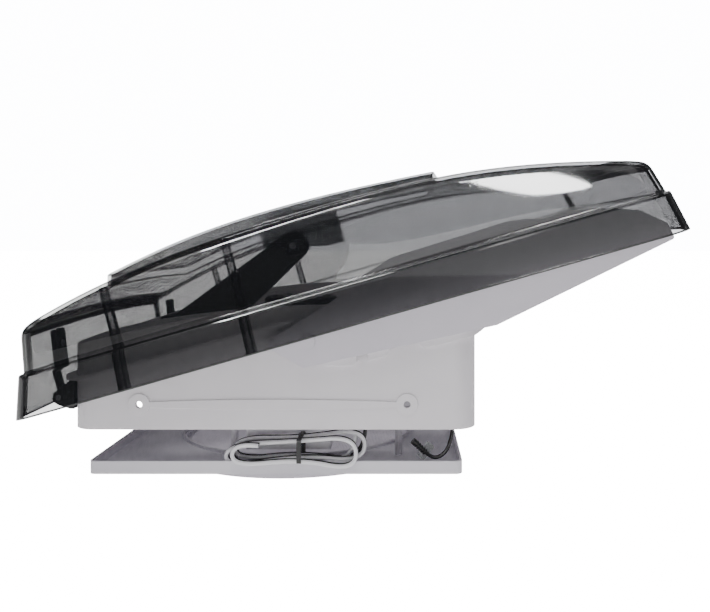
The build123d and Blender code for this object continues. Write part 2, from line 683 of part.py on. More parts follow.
def lift_arm():
    """The lifting arm: a web with a rim, a hub on the shaft and a boss for the head's pin."""
    head_x = ARM_PIVOT_X + ARM_REACH
    rim = Pos(0, ARM_FAR_Y, 0) * extrude(Plane.XZ * arm_outline(0), amount=ARM_THICK)
    pocket = Pos(0, ARM_FAR_Y + CUT, 0) * extrude(
        Plane.XZ * arm_outline(ARM_RIM), amount=ARM_THICK - ARM_WEB + CUT
    )
    arm = rim - pocket
    arm += rod_y(2 * LIFT_SHAFT_R, ARM_PIVOT_X, ARM_PIVOT_Z, ARM_NEAR_Y, ARM_FAR_Y)
    arm += rod_y(2 * ARM_PIN_R, head_x, ARM_PIVOT_Z, ARM_NEAR_Y, ARM_FAR_Y)
    ends = (ARM_NEAR_Y - CUT, ARM_FAR_Y + CUT)
    arm -= rod_y(LIFT_SHAFT_R + RUNNING_FIT, ARM_PIVOT_X, ARM_PIVOT_Z, *ends)
    arm -= rod_y(ARM_PIN_R + RUNNING_FIT, head_x, ARM_PIVOT_Z, *ends)
    return opened_arm(arm)


def bracket_reach():
    """How far the bracket's plates stand from the arm's middle plane."""
    return ARM_THICK / 2 + BRACKET_GAP


def arm_pin():
    """The pin through the arm's head, which slides in the bracket's slots."""
    head_x = ARM_PIVOT_X + ARM_REACH
    reach = bracket_reach() + BRACKET_PLATE
    return opened_arm(rod_y(ARM_PIN_R, head_x, ARM_PIVOT_Z, ARM_Y - reach, ARM_Y + reach))


def head_point(angle):
    """The head's place in X and Z, with the arm at an angle over level."""
    turn = math.radians(angle)
    return (ARM_PIVOT_X + ARM_REACH * math.cos(turn), ARM_PIVOT_Z + ARM_REACH * math.sin(turn))


def slot_points():
    """Where the closed lid's slots meet the head, with the lid closed and with it open."""
    x, z = head_point(ARM_OPEN_ANGLE)
    turn = math.radians(LID_OPEN_ANGLE)
    out, up = x - HINGE_X, z - HINGE_Z
    back_x = HINGE_X + out * math.cos(turn) + up * math.sin(turn)
    back_z = HINGE_Z + up * math.cos(turn) - out * math.sin(turn)
    return [head_point(ARM_CLOSED_ANGLE), (back_x, back_z)]


def bracket_ends():
    """The low and high X of the bracket's plates, either side of the lowered head."""
    x, _ = head_point(ARM_CLOSED_ANGLE)
    return x - BRACKET_BEHIND, x + BRACKET_AHEAD


def slot_block(rim, near, far):
    """A block through both plates over the pin's travel, with a rim round it."""
    xs, zs = zip(*slot_points())
    half = ARM_PIN_R + SEAT_GAP + SLOT_LIFT + rim
    return box(min(xs) - half, max(xs) + SLOT_SLIDE + half, near, far, min(zs) - half, max(zs) + half)


def lift_bracket():
    """The plates under the lid with the slots that the arm's pin slides in."""
    low_x, high_x = bracket_ends()
    top = STRIP_UNDER_Z
    _, head_z = head_point(ARM_CLOSED_ANGLE)
    outline = Polyline(
        (low_x, top), (high_x, top), (high_x, head_z - BRACKET_AHEAD_FALL),
        (low_x, head_z + BRACKET_BEHIND_RISE), close=True,
    )
    near = ARM_Y - bracket_reach()
    far = ARM_Y + bracket_reach()
    bracket = Part()
    for edge in (near - BRACKET_PLATE, far):
        plate = side_prism(outline, edge, edge + BRACKET_PLATE)
        lug = slot_block(SLOT_RIM, edge, edge + BRACKET_PLATE)
        bracket += plate + fillet(lug.edges().filter_by(Axis.Y), SLOT_RIM)
    flange = BRACKET_FLANGE + BRACKET_PLATE
    bracket += box(low_x, high_x, near - flange, far + flange, top - BRACKET_BASE, top)
    for screw_x, screw_y in bracket_screw_places():
        bracket -= rod_z(SMALL_SCREW_R + RUNNING_FIT, screw_x, screw_y, head_z, top + CUT)
    bracket -= slot_block(0, near - 2 * CUT, far + 2 * CUT)
    return opened_lid(bracket & lid_strip(LID_WALL + SEAT_GAP))


def bracket_screw_places():
    """The four screws through the bracket's flanges."""
    low_x, high_x = bracket_ends()
    inset = 2 * BRACKET_FLANGE
    out = bracket_reach() + BRACKET_PLATE + BRACKET_FLANGE / 2
    return [(x, ARM_Y + side * out) for x in (low_x + inset, high_x - inset) for side in (-1, 1)]


def bracket_screws():
    """The screws that hold the bracket's flanges to the lid."""
    screws = Part()
    under = STRIP_UNDER_Z - BRACKET_BASE
    for x, y in bracket_screw_places():
        screws += rod_z(2 * SMALL_SCREW_R, x, y, under - SMALL_SCREW_R, under)
        screws += rod_z(SMALL_SCREW_R, x, y, under, under + BRACKET_BASE / 2)
    return opened_lid(screws)


def loft_plans(x0, x1, half_y, z0, corner0, x2, x3, half_y2, z1, corner1):
    """A drafted block between two rounded rectangles at two heights."""
    low = Pos((x0 + x1) / 2, 0, z0) * RectangleRounded(x1 - x0, 2 * half_y, corner0)
    high = Pos((x2 + x3) / 2, 0, z1) * RectangleRounded(x3 - x2, 2 * half_y2, corner1)
    return loft([low, high], ruled=True)


def lid_skirt(inset):
    """The flared skirt, less a wall's inset, up to the shoulder."""
    rim_x = (LID_LOW_X + inset, LID_HIGH_X - inset)
    shoulder_x = (LID_LOW_X + SKIRT_LOW_FLARE + inset, LID_HIGH_X - SKIRT_HIGH_FLARE - inset)
    shoulder_half = LID_HALF - SKIRT_FLARE - inset
    corner = SKIRT_CORNER_R - inset
    shoulder = LID_RIM_Z + SKIRT_HEIGHT
    return loft_plans(
        *rim_x, LID_HALF - inset, LID_RIM_Z, corner,
        *shoulder_x, shoulder_half, shoulder - inset, corner,
    )


def lid_dome(inset):
    """The drafted dome above the shoulder, less a wall's inset, under its crowned top."""
    foot = LID_RIM_Z + SKIRT_HEIGHT - 2 * LID_WALL
    head = LID_RIM_Z + DOME_HEIGHT + DOME_CROWN * 2
    rise = head - foot
    low_x = LID_LOW_X + SKIRT_LOW_FLARE + LEDGE_LOW + inset
    high_x = LID_HIGH_X - SKIRT_HIGH_FLARE - LEDGE_HIGH - inset
    half = LID_HALF - SKIRT_FLARE - LEDGE_SIDE - inset
    side_in = rise * math.tan(math.radians(DOME_SIDE_DRAFT))
    low_in = rise * math.tan(math.radians(DOME_LOW_DRAFT))
    high_in = rise * math.tan(math.radians(DOME_HIGH_DRAFT))
    corner = DOME_CORNER_R - inset
    drafted = loft_plans(
        low_x, high_x, half, foot, corner,
        low_x + low_in, high_x - high_in, half - side_in, head, corner,
    )
    points = share_points(
        DOME_TOP_SHARES, LID_LOW_X, LID_LENGTH, LID_RIM_Z - inset, DOME_HEIGHT
    )
    path = Plane.XZ * Spline(*points)
    arch = ThreePointArc((-LID_HALF, -DOME_CROWN), (0, 0), (LID_HALF, -DOME_CROWN))
    sides = Polyline(
        arch @ 1, (LID_HALF, -DOME_HEIGHT), (-LID_HALF, -DOME_HEIGHT), arch @ 0
    )
    start = Plane(origin=path @ 0, x_dir=(0, 1, 0), z_dir=path % 0)
    crowned = sweep(start * make_face(arch + sides), path=path)
    dome = drafted & (Pos(0, 0, DOME_CROWN) * crowned)
    return fillet(dome.faces().sort_by(Axis.Z)[-1].edges(), DOME_EDGE_R - inset)


def lid_strip(inset):
    """The raised strip along the middle of the dome, less a wall's inset."""
    points = share_points(
        STRIP_TOP_SHARES, LID_LOW_X, LID_LENGTH, LID_RIM_Z - inset, DOME_HEIGHT
    )
    first, last = points[0], points[-1]
    foot = LID_RIM_Z + DOME_HEIGHT * STRIP_FOOT_SHARE
    low_x = first[0] + inset
    high_x = last[0] - inset
    top = Spline(*points)
    sides = Polyline(last, (last[0], foot), (first[0], foot), first)
    half = STRIP_HALF_WIDTH - inset
    strip = side_prism(top + sides, -half, half)
    return strip & box(low_x, high_x, -half, half, foot, LID_RIM_Z + 2 * DOME_HEIGHT)


def lid_ribs():
    """The hollow ribs on the inside of the lid's side walls."""
    ribs = Part()
    inner_y = WING_OUT + RIB_GAP
    top = LID_RIM_Z + DOME_HEIGHT
    for share in RIB_PLACE_SHARES:
        x = LID_LOW_X + share * LID_LENGTH
        half = RIB_WIDTH / 2
        rib = box(x - half, x + half, inner_y, LID_HALF, LID_RIM_Z, top)
        core = half - RIB_WALL
        hollow_y = inner_y + RIB_WALL
        rib -= box(x - core, x + core, hollow_y, LID_HALF + CUT, LID_RIM_Z - CUT, top + CUT)
        ribs += rib
    return both_sides(ribs)


def lid_shell():
    """The smoked lid: skirt, shoulder, dome and strip as one thin wall, with its ribs."""
    outer = lid_skirt(0) + lid_dome(0) + lid_strip(0)
    inner = lid_skirt(LID_WALL) + lid_dome(LID_WALL) + lid_strip(LID_WALL)
    rim_low, rim_high = LID_LOW_X + LID_WALL, LID_HIGH_X - LID_WALL
    rim = Pos((rim_low + rim_high) / 2, 0, LID_RIM_Z - CUT) * RectangleRounded(
        rim_high - rim_low, 2 * (LID_HALF - LID_WALL), SKIRT_CORNER_R - LID_WALL
    )
    inner += extrude(rim, amount=CUT)
    shell = outer - inner
    shell += (lid_ribs() + hinge_bosses()) & outer
    return opened_lid(shell)


def leaf_x(height):
    """The leaf's outer face at a height over the lid's rim, leaning with the end wall."""
    return LID_LOW_X + LEAF_INSET + (height - LEAF_FOOT) * LEAF_LEAN


def leaf_screw_heights():
    """The heights of a hinge leaf's two screws over the lid's rim."""
    return [LEAF_FOOT + share * (LEAF_TOP - LEAF_FOOT) for share in LEAF_SCREW_SHARES]


def hinge_bosses():
    """The bosses between the lid's low end wall and its hinge leaves."""
    bosses = Part()
    for height in leaf_screw_heights():
        z = LID_RIM_Z + height
        bosses += rod_x(HINGE_BOSS_R, -HINGE_Y, z, LID_LOW_X, leaf_x(height - HINGE_BOSS_R))
    return both_sides(bosses)


def hinge_leaf(side):
    """One hinge leaf: a knuckle, a thin tongue past the gutter lip and a thick screwed pad."""
    foot = LID_RIM_Z + LEAF_FOOT
    top = LID_RIM_Z + LEAF_TOP
    tongue_x = HINGE_X - LEAF_THIN / 2
    pad = Polyline(
        (leaf_x(LEAF_FOOT), foot), (leaf_x(LEAF_TOP), top),
        (leaf_x(LEAF_TOP) + LEAF_THICK, top), (leaf_x(LEAF_FOOT) + LEAF_THICK, foot), close=True,
    )
    tongue = Polyline(
        (tongue_x, HINGE_Z), (tongue_x, foot), (leaf_x(LEAF_FOOT), foot + LEAF_JOG),
        (leaf_x(LEAF_FOOT) + LEAF_THIN, foot), (tongue_x + LEAF_THIN, foot - LEAF_JOG),
        (tongue_x + LEAF_THIN, HINGE_Z), close=True,
    )
    y = side * HINGE_Y
    leaf = side_prism(pad, y - LEAF_WIDTH / 2, y + LEAF_WIDTH / 2)
    leaf = fillet(leaf.edges().filter_by(Axis.X, reverse=True).group_by(Axis.Z)[-1], LEAF_THIN)
    half = KNUCKLE_WIDTH / 2
    leaf += side_prism(tongue, y - half, y + half)
    leaf += rod_y(KNUCKLE_R, HINGE_X, HINGE_Z, y - half, y + half)
    leaf -= rod_y(HINGE_PIN_R + RUNNING_FIT, HINGE_X, HINGE_Z, y - half - CUT, y + half + CUT)
    return opened_lid(leaf)


def leaf_screws():
    """The screws of both hinge leaves."""
    screws = Part()
    for height in leaf_screw_heights():
        x = leaf_x(height + 2 * SMALL_SCREW_R) + LEAF_THICK
        z = LID_RIM_Z + height
        screws += rod_x(2 * SMALL_SCREW_R, -HINGE_Y, z, x, x + SMALL_SCREW_R)
    return opened_lid(both_sides(screws))


def hinge_bracket(side):
    """One hinge bracket on the collar's end wall: two cheeks on a screwed plate."""
    y = side * HINGE_Y
    out = CHEEK_Y + CHEEK
    plate_x = -BASE_HALF - CHEEK
    low_z = HINGE_BLOCK_LOW
    bracket = box(plate_x, -BASE_HALF, y - out, y + out, low_z, HINGE_BLOCK_TOP)
    nose = HINGE_X - KNUCKLE_R
    outline = Polyline(
        (plate_x, low_z), (HINGE_X, low_z + CHEEK), (nose, HINGE_Z - CHEEK),
        (nose, HINGE_Z + CHEEK), (plate_x, HINGE_BLOCK_TOP), close=True,
    )
    for edge in (y - out, y + CHEEK_Y):
        bracket += side_prism(outline, edge, edge + CHEEK)
    hole = rod_y(HINGE_PIN_R + RUNNING_FIT, HINGE_X, HINGE_Z, y - out - CUT, y + out + CUT)
    return bracket - hole


def hinge_pins():
    """The two hinge pins."""
    out = CHEEK_Y + CHEEK
    return both_sides(rod_y(HINGE_PIN_R, HINGE_X, HINGE_Z, -HINGE_Y - out, -HINGE_Y + out))


def bracket_wall_screws():
    """The screws through the hinge brackets into the collar's end wall."""
    screws = Part()
    x = -BASE_HALF - CHEEK
    for z in (HINGE_BLOCK_LOW + 3 * SMALL_SCREW_R, HINGE_BLOCK_TOP - 3 * SMALL_SCREW_R):
        screws += rod_x(2 * SMALL_SCREW_R, -HINGE_Y, z, x - SMALL_SCREW_R, x)
    return both_sides(screws)


def wing_outline():
    """The wing's outline with its corners eased."""
    points = share_points(WING_SHARES, WING_LOW_X, WING_LENGTH, WING_FLOOR_Z, WING_HEIGHT)
    return Polyline(*points, close=True)


def rain_shield():
    """Two wings outside the collar's walls, joined by a floor frame and its end flange."""
    wing = side_prism(wing_outline(), -WING_OUT, -WING_IN)
    wing = fillet(wing.edges().filter_by(Axis.Y), WING_CORNER_R)
    high_x = WING_HIGH_X
    top = WING_FLOOR_Z + FLOOR_THICK
    floor = box(FLOOR_LOW_X, high_x, -WING_IN, WING_IN, WING_FLOOR_Z, top)
    rim_top = top + FLOOR_RIM / 2
    floor += box(high_x - FLOOR_THICK, high_x, -WING_IN, WING_IN, WING_FLOOR_Z, rim_top)
    hole_half = WING_IN - FLOOR_RIM
    floor -= box(
        FLOOR_LOW_X + FLOOR_RIM, high_x - FLOOR_RIM, -hole_half, hole_half,
        WING_FLOOR_Z - CUT, top + CUT,
    )
    shield = both_sides(wing) + floor
    reach = WING_OUT + CUT
    shield -= rod_y(PIVOT_R + RUNNING_FIT, PIVOT_X, PIVOT_Z, -reach, reach)
    return opened_shield(shield)


def shield_grille():
    """The louvred air outlet that sits in the shield's floor."""
    low_x = FLOOR_LOW_X + FLOOR_RIM - GRILLE_FRAME / 2
    high_x = WING_HIGH_X - FLOOR_RIM + GRILLE_FRAME / 2
    half = WING_IN - FLOOR_RIM + GRILLE_FRAME / 2
    foot = WING_FLOOR_Z + FLOOR_THICK
    frame = box(low_x, high_x, -half, half, foot, foot + GRILLE_THICK)
    frame -= box(
        low_x + GRILLE_FRAME, high_x - GRILLE_FRAME, -half + GRILLE_FRAME, half - GRILLE_FRAME,
        foot - CUT, foot + GRILLE_THICK + CUT,
    )
    inner_x = low_x + GRILLE_FRAME
    pitch = (high_x - low_x - 2 * GRILLE_FRAME) / LOUVRE_COUNT
    slat_half = half - GRILLE_FRAME / 2
    for number in range(LOUVRE_COUNT):
        middle = Pos(inner_x + (number + 1 / 2) * pitch, 0, foot + GRILLE_THICK / 2)
        frame += middle * Rot(0, LOUVRE_ANGLE, 0) * Box(LOUVRE_WIDTH, 2 * slat_half, LOUVRE_THICK)
    for number in range(GRILLE_BARS):
        y = (number + 1) * 2 * half / (GRILLE_BARS + 1) - half
        bar = LOUVRE_THICK
        frame += box(low_x, high_x, y - bar, y + bar, foot, foot + GRILLE_THICK)
    return opened_shield(frame)


def shield_pins():
    """The two pins that the shield's wings turn on, with their heads and inner collars."""
    neck = WING_OUT + SEAT_GAP
    pin = rod_y(PIVOT_R, PIVOT_X, PIVOT_Z, -neck, -INNER_HALF + PIVOT_HEAD)
    pin += rod_y(PIVOT_HEAD_R, PIVOT_X, PIVOT_Z, -neck - PIVOT_HEAD, -neck)
    pin += rod_y(PIVOT_HEAD_R, PIVOT_X, PIVOT_Z, -INNER_HALF, -INNER_HALF + PIVOT_HEAD)
    return both_sides(pin)


def ceiling_panel():
    """The square tray with its round opening and the collar that the bezel seats on."""
    tray = square_block(PANEL_HALF, PANEL_CORNER_R, PANEL_UNDER, PANEL_TOP)
    tray -= square_block(
        PANEL_HALF - PANEL_WALL, PANEL_CORNER_R - PANEL_WALL, PANEL_FLOOR, PANEL_TOP + CUT
    )
    tray += rod_z(PANEL_HOLE_R + PANEL_WALL, 0, 0, PANEL_FLOOR, PANEL_FLOOR + HOLE_RIM_HEIGHT)
    collar_r = BEZEL_R - BEZEL_WALL - SEAT_GAP
    tray += rod_z(collar_r, 0, 0, COLLAR_FOOT, PANEL_UNDER)
    tray -= rod_z(PANEL_HOLE_R, 0, 0, COLLAR_FOOT - CUT, PANEL_TOP)
    for x, y in post_places():
        tray -= rod_z(PANEL_SCREW_R + RUNNING_FIT, x, y, COLLAR_FOOT - CUT, PANEL_TOP)
        tray -= rod_z(POST_HEAD_R + SEAT_GAP, x, y, COLLAR_FOOT - CUT, PANEL_UNDER)
    for x, y in latch_places():
        tray -= rod_z(LATCH_PIN_R - RUNNING_FIT, x, y, COLLAR_FOOT - CUT, PANEL_TOP)
    return tray - keypad_window()


def panel_posts():
    """The four posts between the collar and the ceiling panel."""
    posts = Part()
    for x, y in post_places():
        post = rod_z(POST_R, x, y, PANEL_FLOOR, SHELF_Z)
        posts += post - rod_z(PANEL_SCREW_R + RUNNING_FIT, x, y, PANEL_FLOOR - CUT, CUT)
    return posts


def panel_screws():
    """The four long screws up through the panel and its posts into the collar's lugs."""
    screws = Part()
    for x, y in post_places():
        screws += rod_z(PANEL_SCREW_R, x, y, PANEL_UNDER, SHELF_TOP)
        screws += rod_z(POST_HEAD_R, x, y, PANEL_UNDER - POST_HEAD, PANEL_UNDER)
    return screws


def screen_bezel():
    """The round bezel under the panel, on which the whole vent stands."""
    bezel = rod_z(BEZEL_R, 0, 0, BEZEL_BOTTOM, COLLAR_FOOT)
    bezel = fillet(bezel.edges().group_by(Axis.Z)[0], BEZEL_EDGE_R)
    bezel += rod_z(BEZEL_R, 0, 0, COLLAR_FOOT, PANEL_UNDER - SEAT_GAP)
    bezel -= rod_z(BEZEL_R - BEZEL_WALL, 0, 0, COLLAR_FOOT, PANEL_UNDER)
    bezel -= rod_z(SCREEN_R + SEAT_GAP, 0, 0, BEZEL_BOTTOM + BEZEL_WALL, PANEL_UNDER)
    reach = LATCH_NOTCH
    notch = box(-reach, reach, -LATCH_WIDTH, LATCH_WIDTH, BEZEL_BOTTOM - CUT, BEZEL_FLANGE)
    for x, y in latch_places():
        bezel -= Pos(x, y, 0) * Rot(0, 0, math.degrees(math.atan2(y, x))) * notch
    return bezel - rod_z(BEZEL_HOLE_R, 0, 0, BEZEL_BOTTOM - CUT, PANEL_UNDER)


def insect_screen():
    """The net in the bezel: one holed disc with a rim."""
    foot = BEZEL_BOTTOM + BEZEL_WALL
    net = Circle(SCREEN_R)
    count = math.floor(2 * SCREEN_R / SCREEN_PITCH)
    hole = SCREEN_PITCH - SCREEN_STRAND
    reach = BEZEL_HOLE_R - SCREEN_STRAND
    holes = []
    for row in range(-count // 2, count // 2 + 1):
        for column in range(-count // 2, count // 2 + 1):
            x, y = column * SCREEN_PITCH, row * SCREEN_PITCH
            if math.hypot(abs(x) + hole / 2, abs(y) + hole / 2) < reach:
                holes.append(Pos(x, y) * Rectangle(hole, hole))
    return Pos(0, 0, foot) * extrude(net - holes, amount=SCREEN_THICK)


def latch_places():
    """The latches' places round the bezel, clear of the keypad's corner."""
    return [polar(LATCH_R, angle) for angle in (30, 150, 210, 330)]


def screen_latch(number):
    """One turning latch, whose tip lies under the bezel's edge."""
    x, y = latch_places()[number]
    angle = math.degrees(math.atan2(y, x))
    tip = LATCH_R - BEZEL_R + BEZEL_EDGE_R
    half = LATCH_WIDTH / 2
    foot = LATCH_Z - LATCH_THICK
    latch = box(-tip, half, -half, half, foot, LATCH_Z) + rod_z(half, half, 0, foot, LATCH_Z)
    latch -= rod_z(LATCH_PIN_R + RUNNING_FIT, 0, 0, foot - CUT, LATCH_Z + CUT)
    return Pos(x, y, 0) * Rot(0, 0, angle) * latch


def keypad_window():
    """The square hole in the panel under the keypad."""
    half_x = KEYPAD_LENGTH / 2 - PANEL_WALL
    half_y = KEYPAD_WIDTH / 2 - PANEL_WALL
    return box(
        KEYPAD_X - half_x, KEYPAD_X + half_x, KEYPAD_Y - half_y, KEYPAD_Y + half_y,
        PANEL_UNDER - CUT, PANEL_FLOOR + CUT,
    )


def latch_pins():
    """The headed pins that the latches turn on."""
    pins = Part()
    for x, y in latch_places():
        head = LATCH_Z - LATCH_THICK - RUNNING_FIT
        pins += rod_z(LATCH_PIN_R, x, y, head, PANEL_UNDER)
        pins += rod_z(LATCH_PIN_R - 2 * RUNNING_FIT, x, y, PANEL_UNDER, PANEL_FLOOR)
        pins += rod_z(2 * LATCH_PIN_R, x, y, head - LATCH_PIN_HEAD, head)
        pins += rod_z(2 * LATCH_PIN_R, x, y, LATCH_Z + SEAT_GAP, PANEL_UNDER)
    return pins


def key_places():
    """The four keys' places on the keypad."""
    middle = KEYPAD_X + KEY_OFFSET_X
    half_x, half_y = KEY_SPACING_X / 2, KEY_SPACING_Y / 2
    return [(middle + a * half_x, KEYPAD_Y + b * half_y) for a in (-1, 1) for b in (-1, 1)]


def keypad():
    """The keypad's plate under the panel, with round holes for its keys and sensor."""
    half_x, half_y = KEYPAD_LENGTH / 2, KEYPAD_WIDTH / 2
    foot = PANEL_UNDER - KEYPAD_THICK
    plate = box(
        KEYPAD_X - half_x, KEYPAD_X + half_x, KEYPAD_Y - half_y, KEYPAD_Y + half_y,
        foot, PANEL_UNDER,
    )
    plate = fillet(plate.edges().filter_by(Axis.Z), PANEL_CORNER_R / 2)
    for x, y in key_places():
        plate -= rod_z(KEY_R + KEY_GAP, x, y, foot - CUT, PANEL_UNDER + CUT)
    x = KEYPAD_X + SENSOR_OFFSET_X
    return plate - rod_z(SENSOR_R + RUNNING_FIT, x, KEYPAD_Y, foot - CUT, PANEL_UNDER + CUT)


def key(number):
    """One key: a round cap with a flange that keeps it in the plate."""
    x, y = key_places()[number]
    foot = PANEL_UNDER - KEYPAD_THICK - KEY_PROUD
    cap = rod_z(KEY_R, x, y, foot, PANEL_UNDER + KEY_GAP)
    cap = fillet(cap.edges().group_by(Axis.Z)[0], KEY_PROUD / 2)
    flange = PANEL_UNDER + KEY_GAP
    return cap + rod_z(KEY_R + KEY_FLANGE, x, y, flange, flange + KEY_FLANGE)


def sensor_window():
    """The round infrared window in the keypad."""
    x = KEYPAD_X + SENSOR_OFFSET_X
    foot = PANEL_UNDER - KEYPAD_THICK - KEY_GAP
    return rod_z(SENSOR_R, x, KEYPAD_Y, foot, PANEL_UNDER)


def keypad_board():
    """The small board that lies over the keypad's window."""
    half_x, half_y = KEYPAD_LENGTH / 2, KEYPAD_WIDTH / 2
    return box(
        KEYPAD_X - half_x, KEYPAD_X + half_x, KEYPAD_Y - half_y, KEYPAD_Y + half_y,
        PANEL_FLOOR, PANEL_FLOOR + BOARD_THICK,
    )


def control_box():
    """The open-topped box under the shelf, with pillars for its board and two ears."""
    half_x, half_y = BOX_LENGTH / 2, BOX_WIDTH / 2
    foot = SHELF_Z - BOX_HEIGHT
    body = box(BOX_X - half_x, BOX_X + half_x, BOX_Y - half_y, BOX_Y + half_y, foot, SHELF_Z)
    body = fillet(body.edges().filter_by(Axis.Z), BOX_EDGE_R)
    in_x, in_y = half_x - BOX_WALL, half_y - BOX_WALL
    body -= box(
        BOX_X - in_x, BOX_X + in_x, BOX_Y - in_y, BOX_Y + in_y, foot + BOX_WALL, SHELF_Z + CUT
    )
    for a in (-1, 1):
        for b in (-1, 1):
            x, y = BOX_X + a * (in_x - BOX_WALL), BOX_Y + b * (in_y - BOX_WALL)
            body += rod_z(BOX_WALL, x, y, foot + BOX_WALL, board_z())
    ear_z = SHELF_Z - BOX_WALL
    ear_half = 2 * PANEL_SCREW_R
    for x in box_screw_places():
        ear = rod_z(ear_half, x, BOX_Y, ear_z, SHELF_Z)
        toward = x - math.copysign(ear_half, x - BOX_X)
        near, far = min(x, toward), max(x, toward)
        body += ear + box(near, far, BOX_Y - ear_half, BOX_Y + ear_half, ear_z, SHELF_Z)
    return body


def board_z():
    """The height of the control board's underside."""
    return SHELF_Z - BOX_HEIGHT / 2


def box_screw_places():
    """The X of the control box's two ears."""
    out = BOX_LENGTH / 2 + 2 * PANEL_SCREW_R
    return (BOX_X - out, BOX_X + out)


def box_screws():
    """The screws under the control box's ears."""
    screws = Part()
    for x in box_screw_places():
        head_z = SHELF_Z - BOX_WALL
        screws += rod_z(PANEL_SCREW_R, x, BOX_Y, head_z - SMALL_SCREW_R, head_z)
    return screws


def control_board():
    """The control board on the box's pillars, with its tall parts."""
    half_x, half_y = BOX_LENGTH / 2 - 2 * BOX_WALL, BOX_WIDTH / 2 - 2 * BOX_WALL
    top = board_z() + BOARD_THICK
    board = box(BOX_X - half_x, BOX_X + half_x, BOX_Y - half_y, BOX_Y + half_y, board_z(), top)
    board += rod_z(BOX_WIDTH / 6, BOX_X - half_x / 2, BOX_Y, top, top + BOX_HEIGHT / 3)
    relay = BOX_WIDTH / 5
    return board + box(
        BOX_X + relay, BOX_X + 3 * relay, BOX_Y - relay, BOX_Y + relay, top, top + BOX_HEIGHT / 4
    )


def lead_grommets():
    """The grommets that the three leads come down through."""
    grommets = Part()
    for x, y in [*lead_exits(), SENSOR_ROUTE[0][:2]]:
        grommets += rod_z(GROMMET_R, x, y, SHELF_Z - GROMMET_DEPTH, SHELF_Z)
        grommets += rod_z(GROMMET_R - GROMMET_WALL - RUNNING_FIT, x, y, SHELF_Z, SHELF_TOP)
    return grommets


def route_radii(points):
    """The bend radius at each inner point, from its shorter run and its turn."""
    radii = []
    for before, here, after in zip(points, points[1:], points[2:]):
        first = Vector(*here) - Vector(*before)
        second = Vector(*after) - Vector(*here)
        half_turn = math.radians(first.get_angle(second)) / 2
        most = BEND_SHARE * min(first.length, second.length) / math.tan(half_turn)
        radii.append(min(most, MOST_BEND_R))
    return radii


def lead_tube(points, radius, name):
    """A round lead along straight runs joined by arcs."""
    radii = route_radii(points)
    path = FilletPolyline(*points, radius=radii)
    start = Plane(origin=path @ 0, z_dir=path % 0)
    tube = sweep(start * Circle(radius), path=path)
    share = tube.volume / (math.pi * radius**2 * path.length)
    print(name, "length", round(path.length), "least radius", round(min(radii), 1),
          "volume share", round(share, 4), "least gap", round(least_gap(path, radius), 2))
    return tube


def least_gap(path, radius):
    """The least gap of a tube to its own other turns, measured on points."""
    step = 4 * radius
    count = math.ceil(path.length / radius)
    points = [path @ (number / count) for number in range(count + 1)]
    skip = math.ceil(step / radius) + 1
    gaps = [
        (points[a] - points[b]).length - 2 * radius
        for a in range(0, count + 1, 2) for b in range(a + skip, count + 1, 2)
    ]
    return min(gaps)


def hank_route(exit_x, planes):
    """A lead's points: its exit, then loops that step nearer along their upper runs."""
    left_x, left_z, left_half = LOOP_LEFT
    right_x, right_z, right_half = LOOP_RIGHT
    waist_x, waist_z, waist_half = LOOP_WAIST
    points = [(exit_x, planes[0], SHELF_Z - GROMMET_DEPTH)]
    end_x = exit_x
    for number, y in enumerate(planes):
        points += [
            (end_x, y, right_z - right_half),
            (waist_x, y, waist_z - waist_half),
            (left_x, y, left_z - left_half),
            (left_x, y, left_z + left_half),
        ]
        if number + 1 < len(planes):
            nearer = planes[number + 1]
            points.append((waist_x, (y + nearer) / 2, waist_z + waist_half))
            points.append((right_x, nearer, right_z + right_half))
            end_x = right_x
    tail_x, tail_z = LOOP_TAIL
    points.append((tail_x, planes[-1], tail_z))
    return points


def lead_white():
    """The white power lead, from its grommet through its loops."""
    return lead_tube(hank_route(WHITE_EXIT_X, WHITE_PLANES), LEAD_R, "lead_white")


def lead_black():
    """The black power lead, beside the white one."""
    return lead_tube(hank_route(BLACK_EXIT_X, BLACK_PLANES), LEAD_R, "lead_black")


def cable_tie():
    """The tie round the hank's waist, with its square head on top."""
    x, z, half = LOOP_WAIST
    clear = half + LEAD_R + TIE_FIT
    near = WHITE_PLANES[-1] - LEAD_R - TIE_FIT
    far = BLACK_PLANES[0] + LEAD_R + TIE_FIT
    side = TIE_WIDTH / 2
    band = TIE_THICK
    ring = box(x - side, x + side, near - band, far + band, z - clear - band, z + clear + band)
    ring = fillet(ring.edges().filter_by(Axis.X), LEAD_R)
    ring -= box(x - side - CUT, x + side + CUT, near, far, z - clear, z + clear)
    top = z + clear + band
    middle = (near + far) / 2
    half_head = TIE_HEAD / 2
    return ring + box(x - side, x + side, middle - half_head, middle + half_head, top, top + side)


def sensor_lead():
    """The black sensor lead, from its grommet down into the tray."""
    return lead_tube(SENSOR_ROUTE, SENSOR_LEAD_R, "sensor_lead")


def relief_plane():
    """The plane across the sensor lead's end, along which the strain relief continues."""
    end, before = Vector(*SENSOR_ROUTE[-1]), Vector(*SENSOR_ROUTE[-2])
    return Plane(origin=end, z_dir=end - before)


def sensor_relief():
    """The ribbed strain relief at the sensor lead's end, with its round head."""
    pitch = RELIEF_LENGTH / RELIEF_RIBS
    local = Cylinder(RELIEF_TIP_R, RELIEF_LENGTH, align=(Align.CENTER, Align.CENTER, Align.MIN))
    for number in range(RELIEF_RIBS):
        middle = (number + 1 / 2) * pitch
        rib = Pos(0, 0, middle) * Cylinder(RELIEF_R, pitch / 2)
        local += rib
    local += Pos(0, 0, RELIEF_LENGTH + RELIEF_HEAD / 2) * Cylinder(RELIEF_R, RELIEF_HEAD)
    return relief_plane().location * local


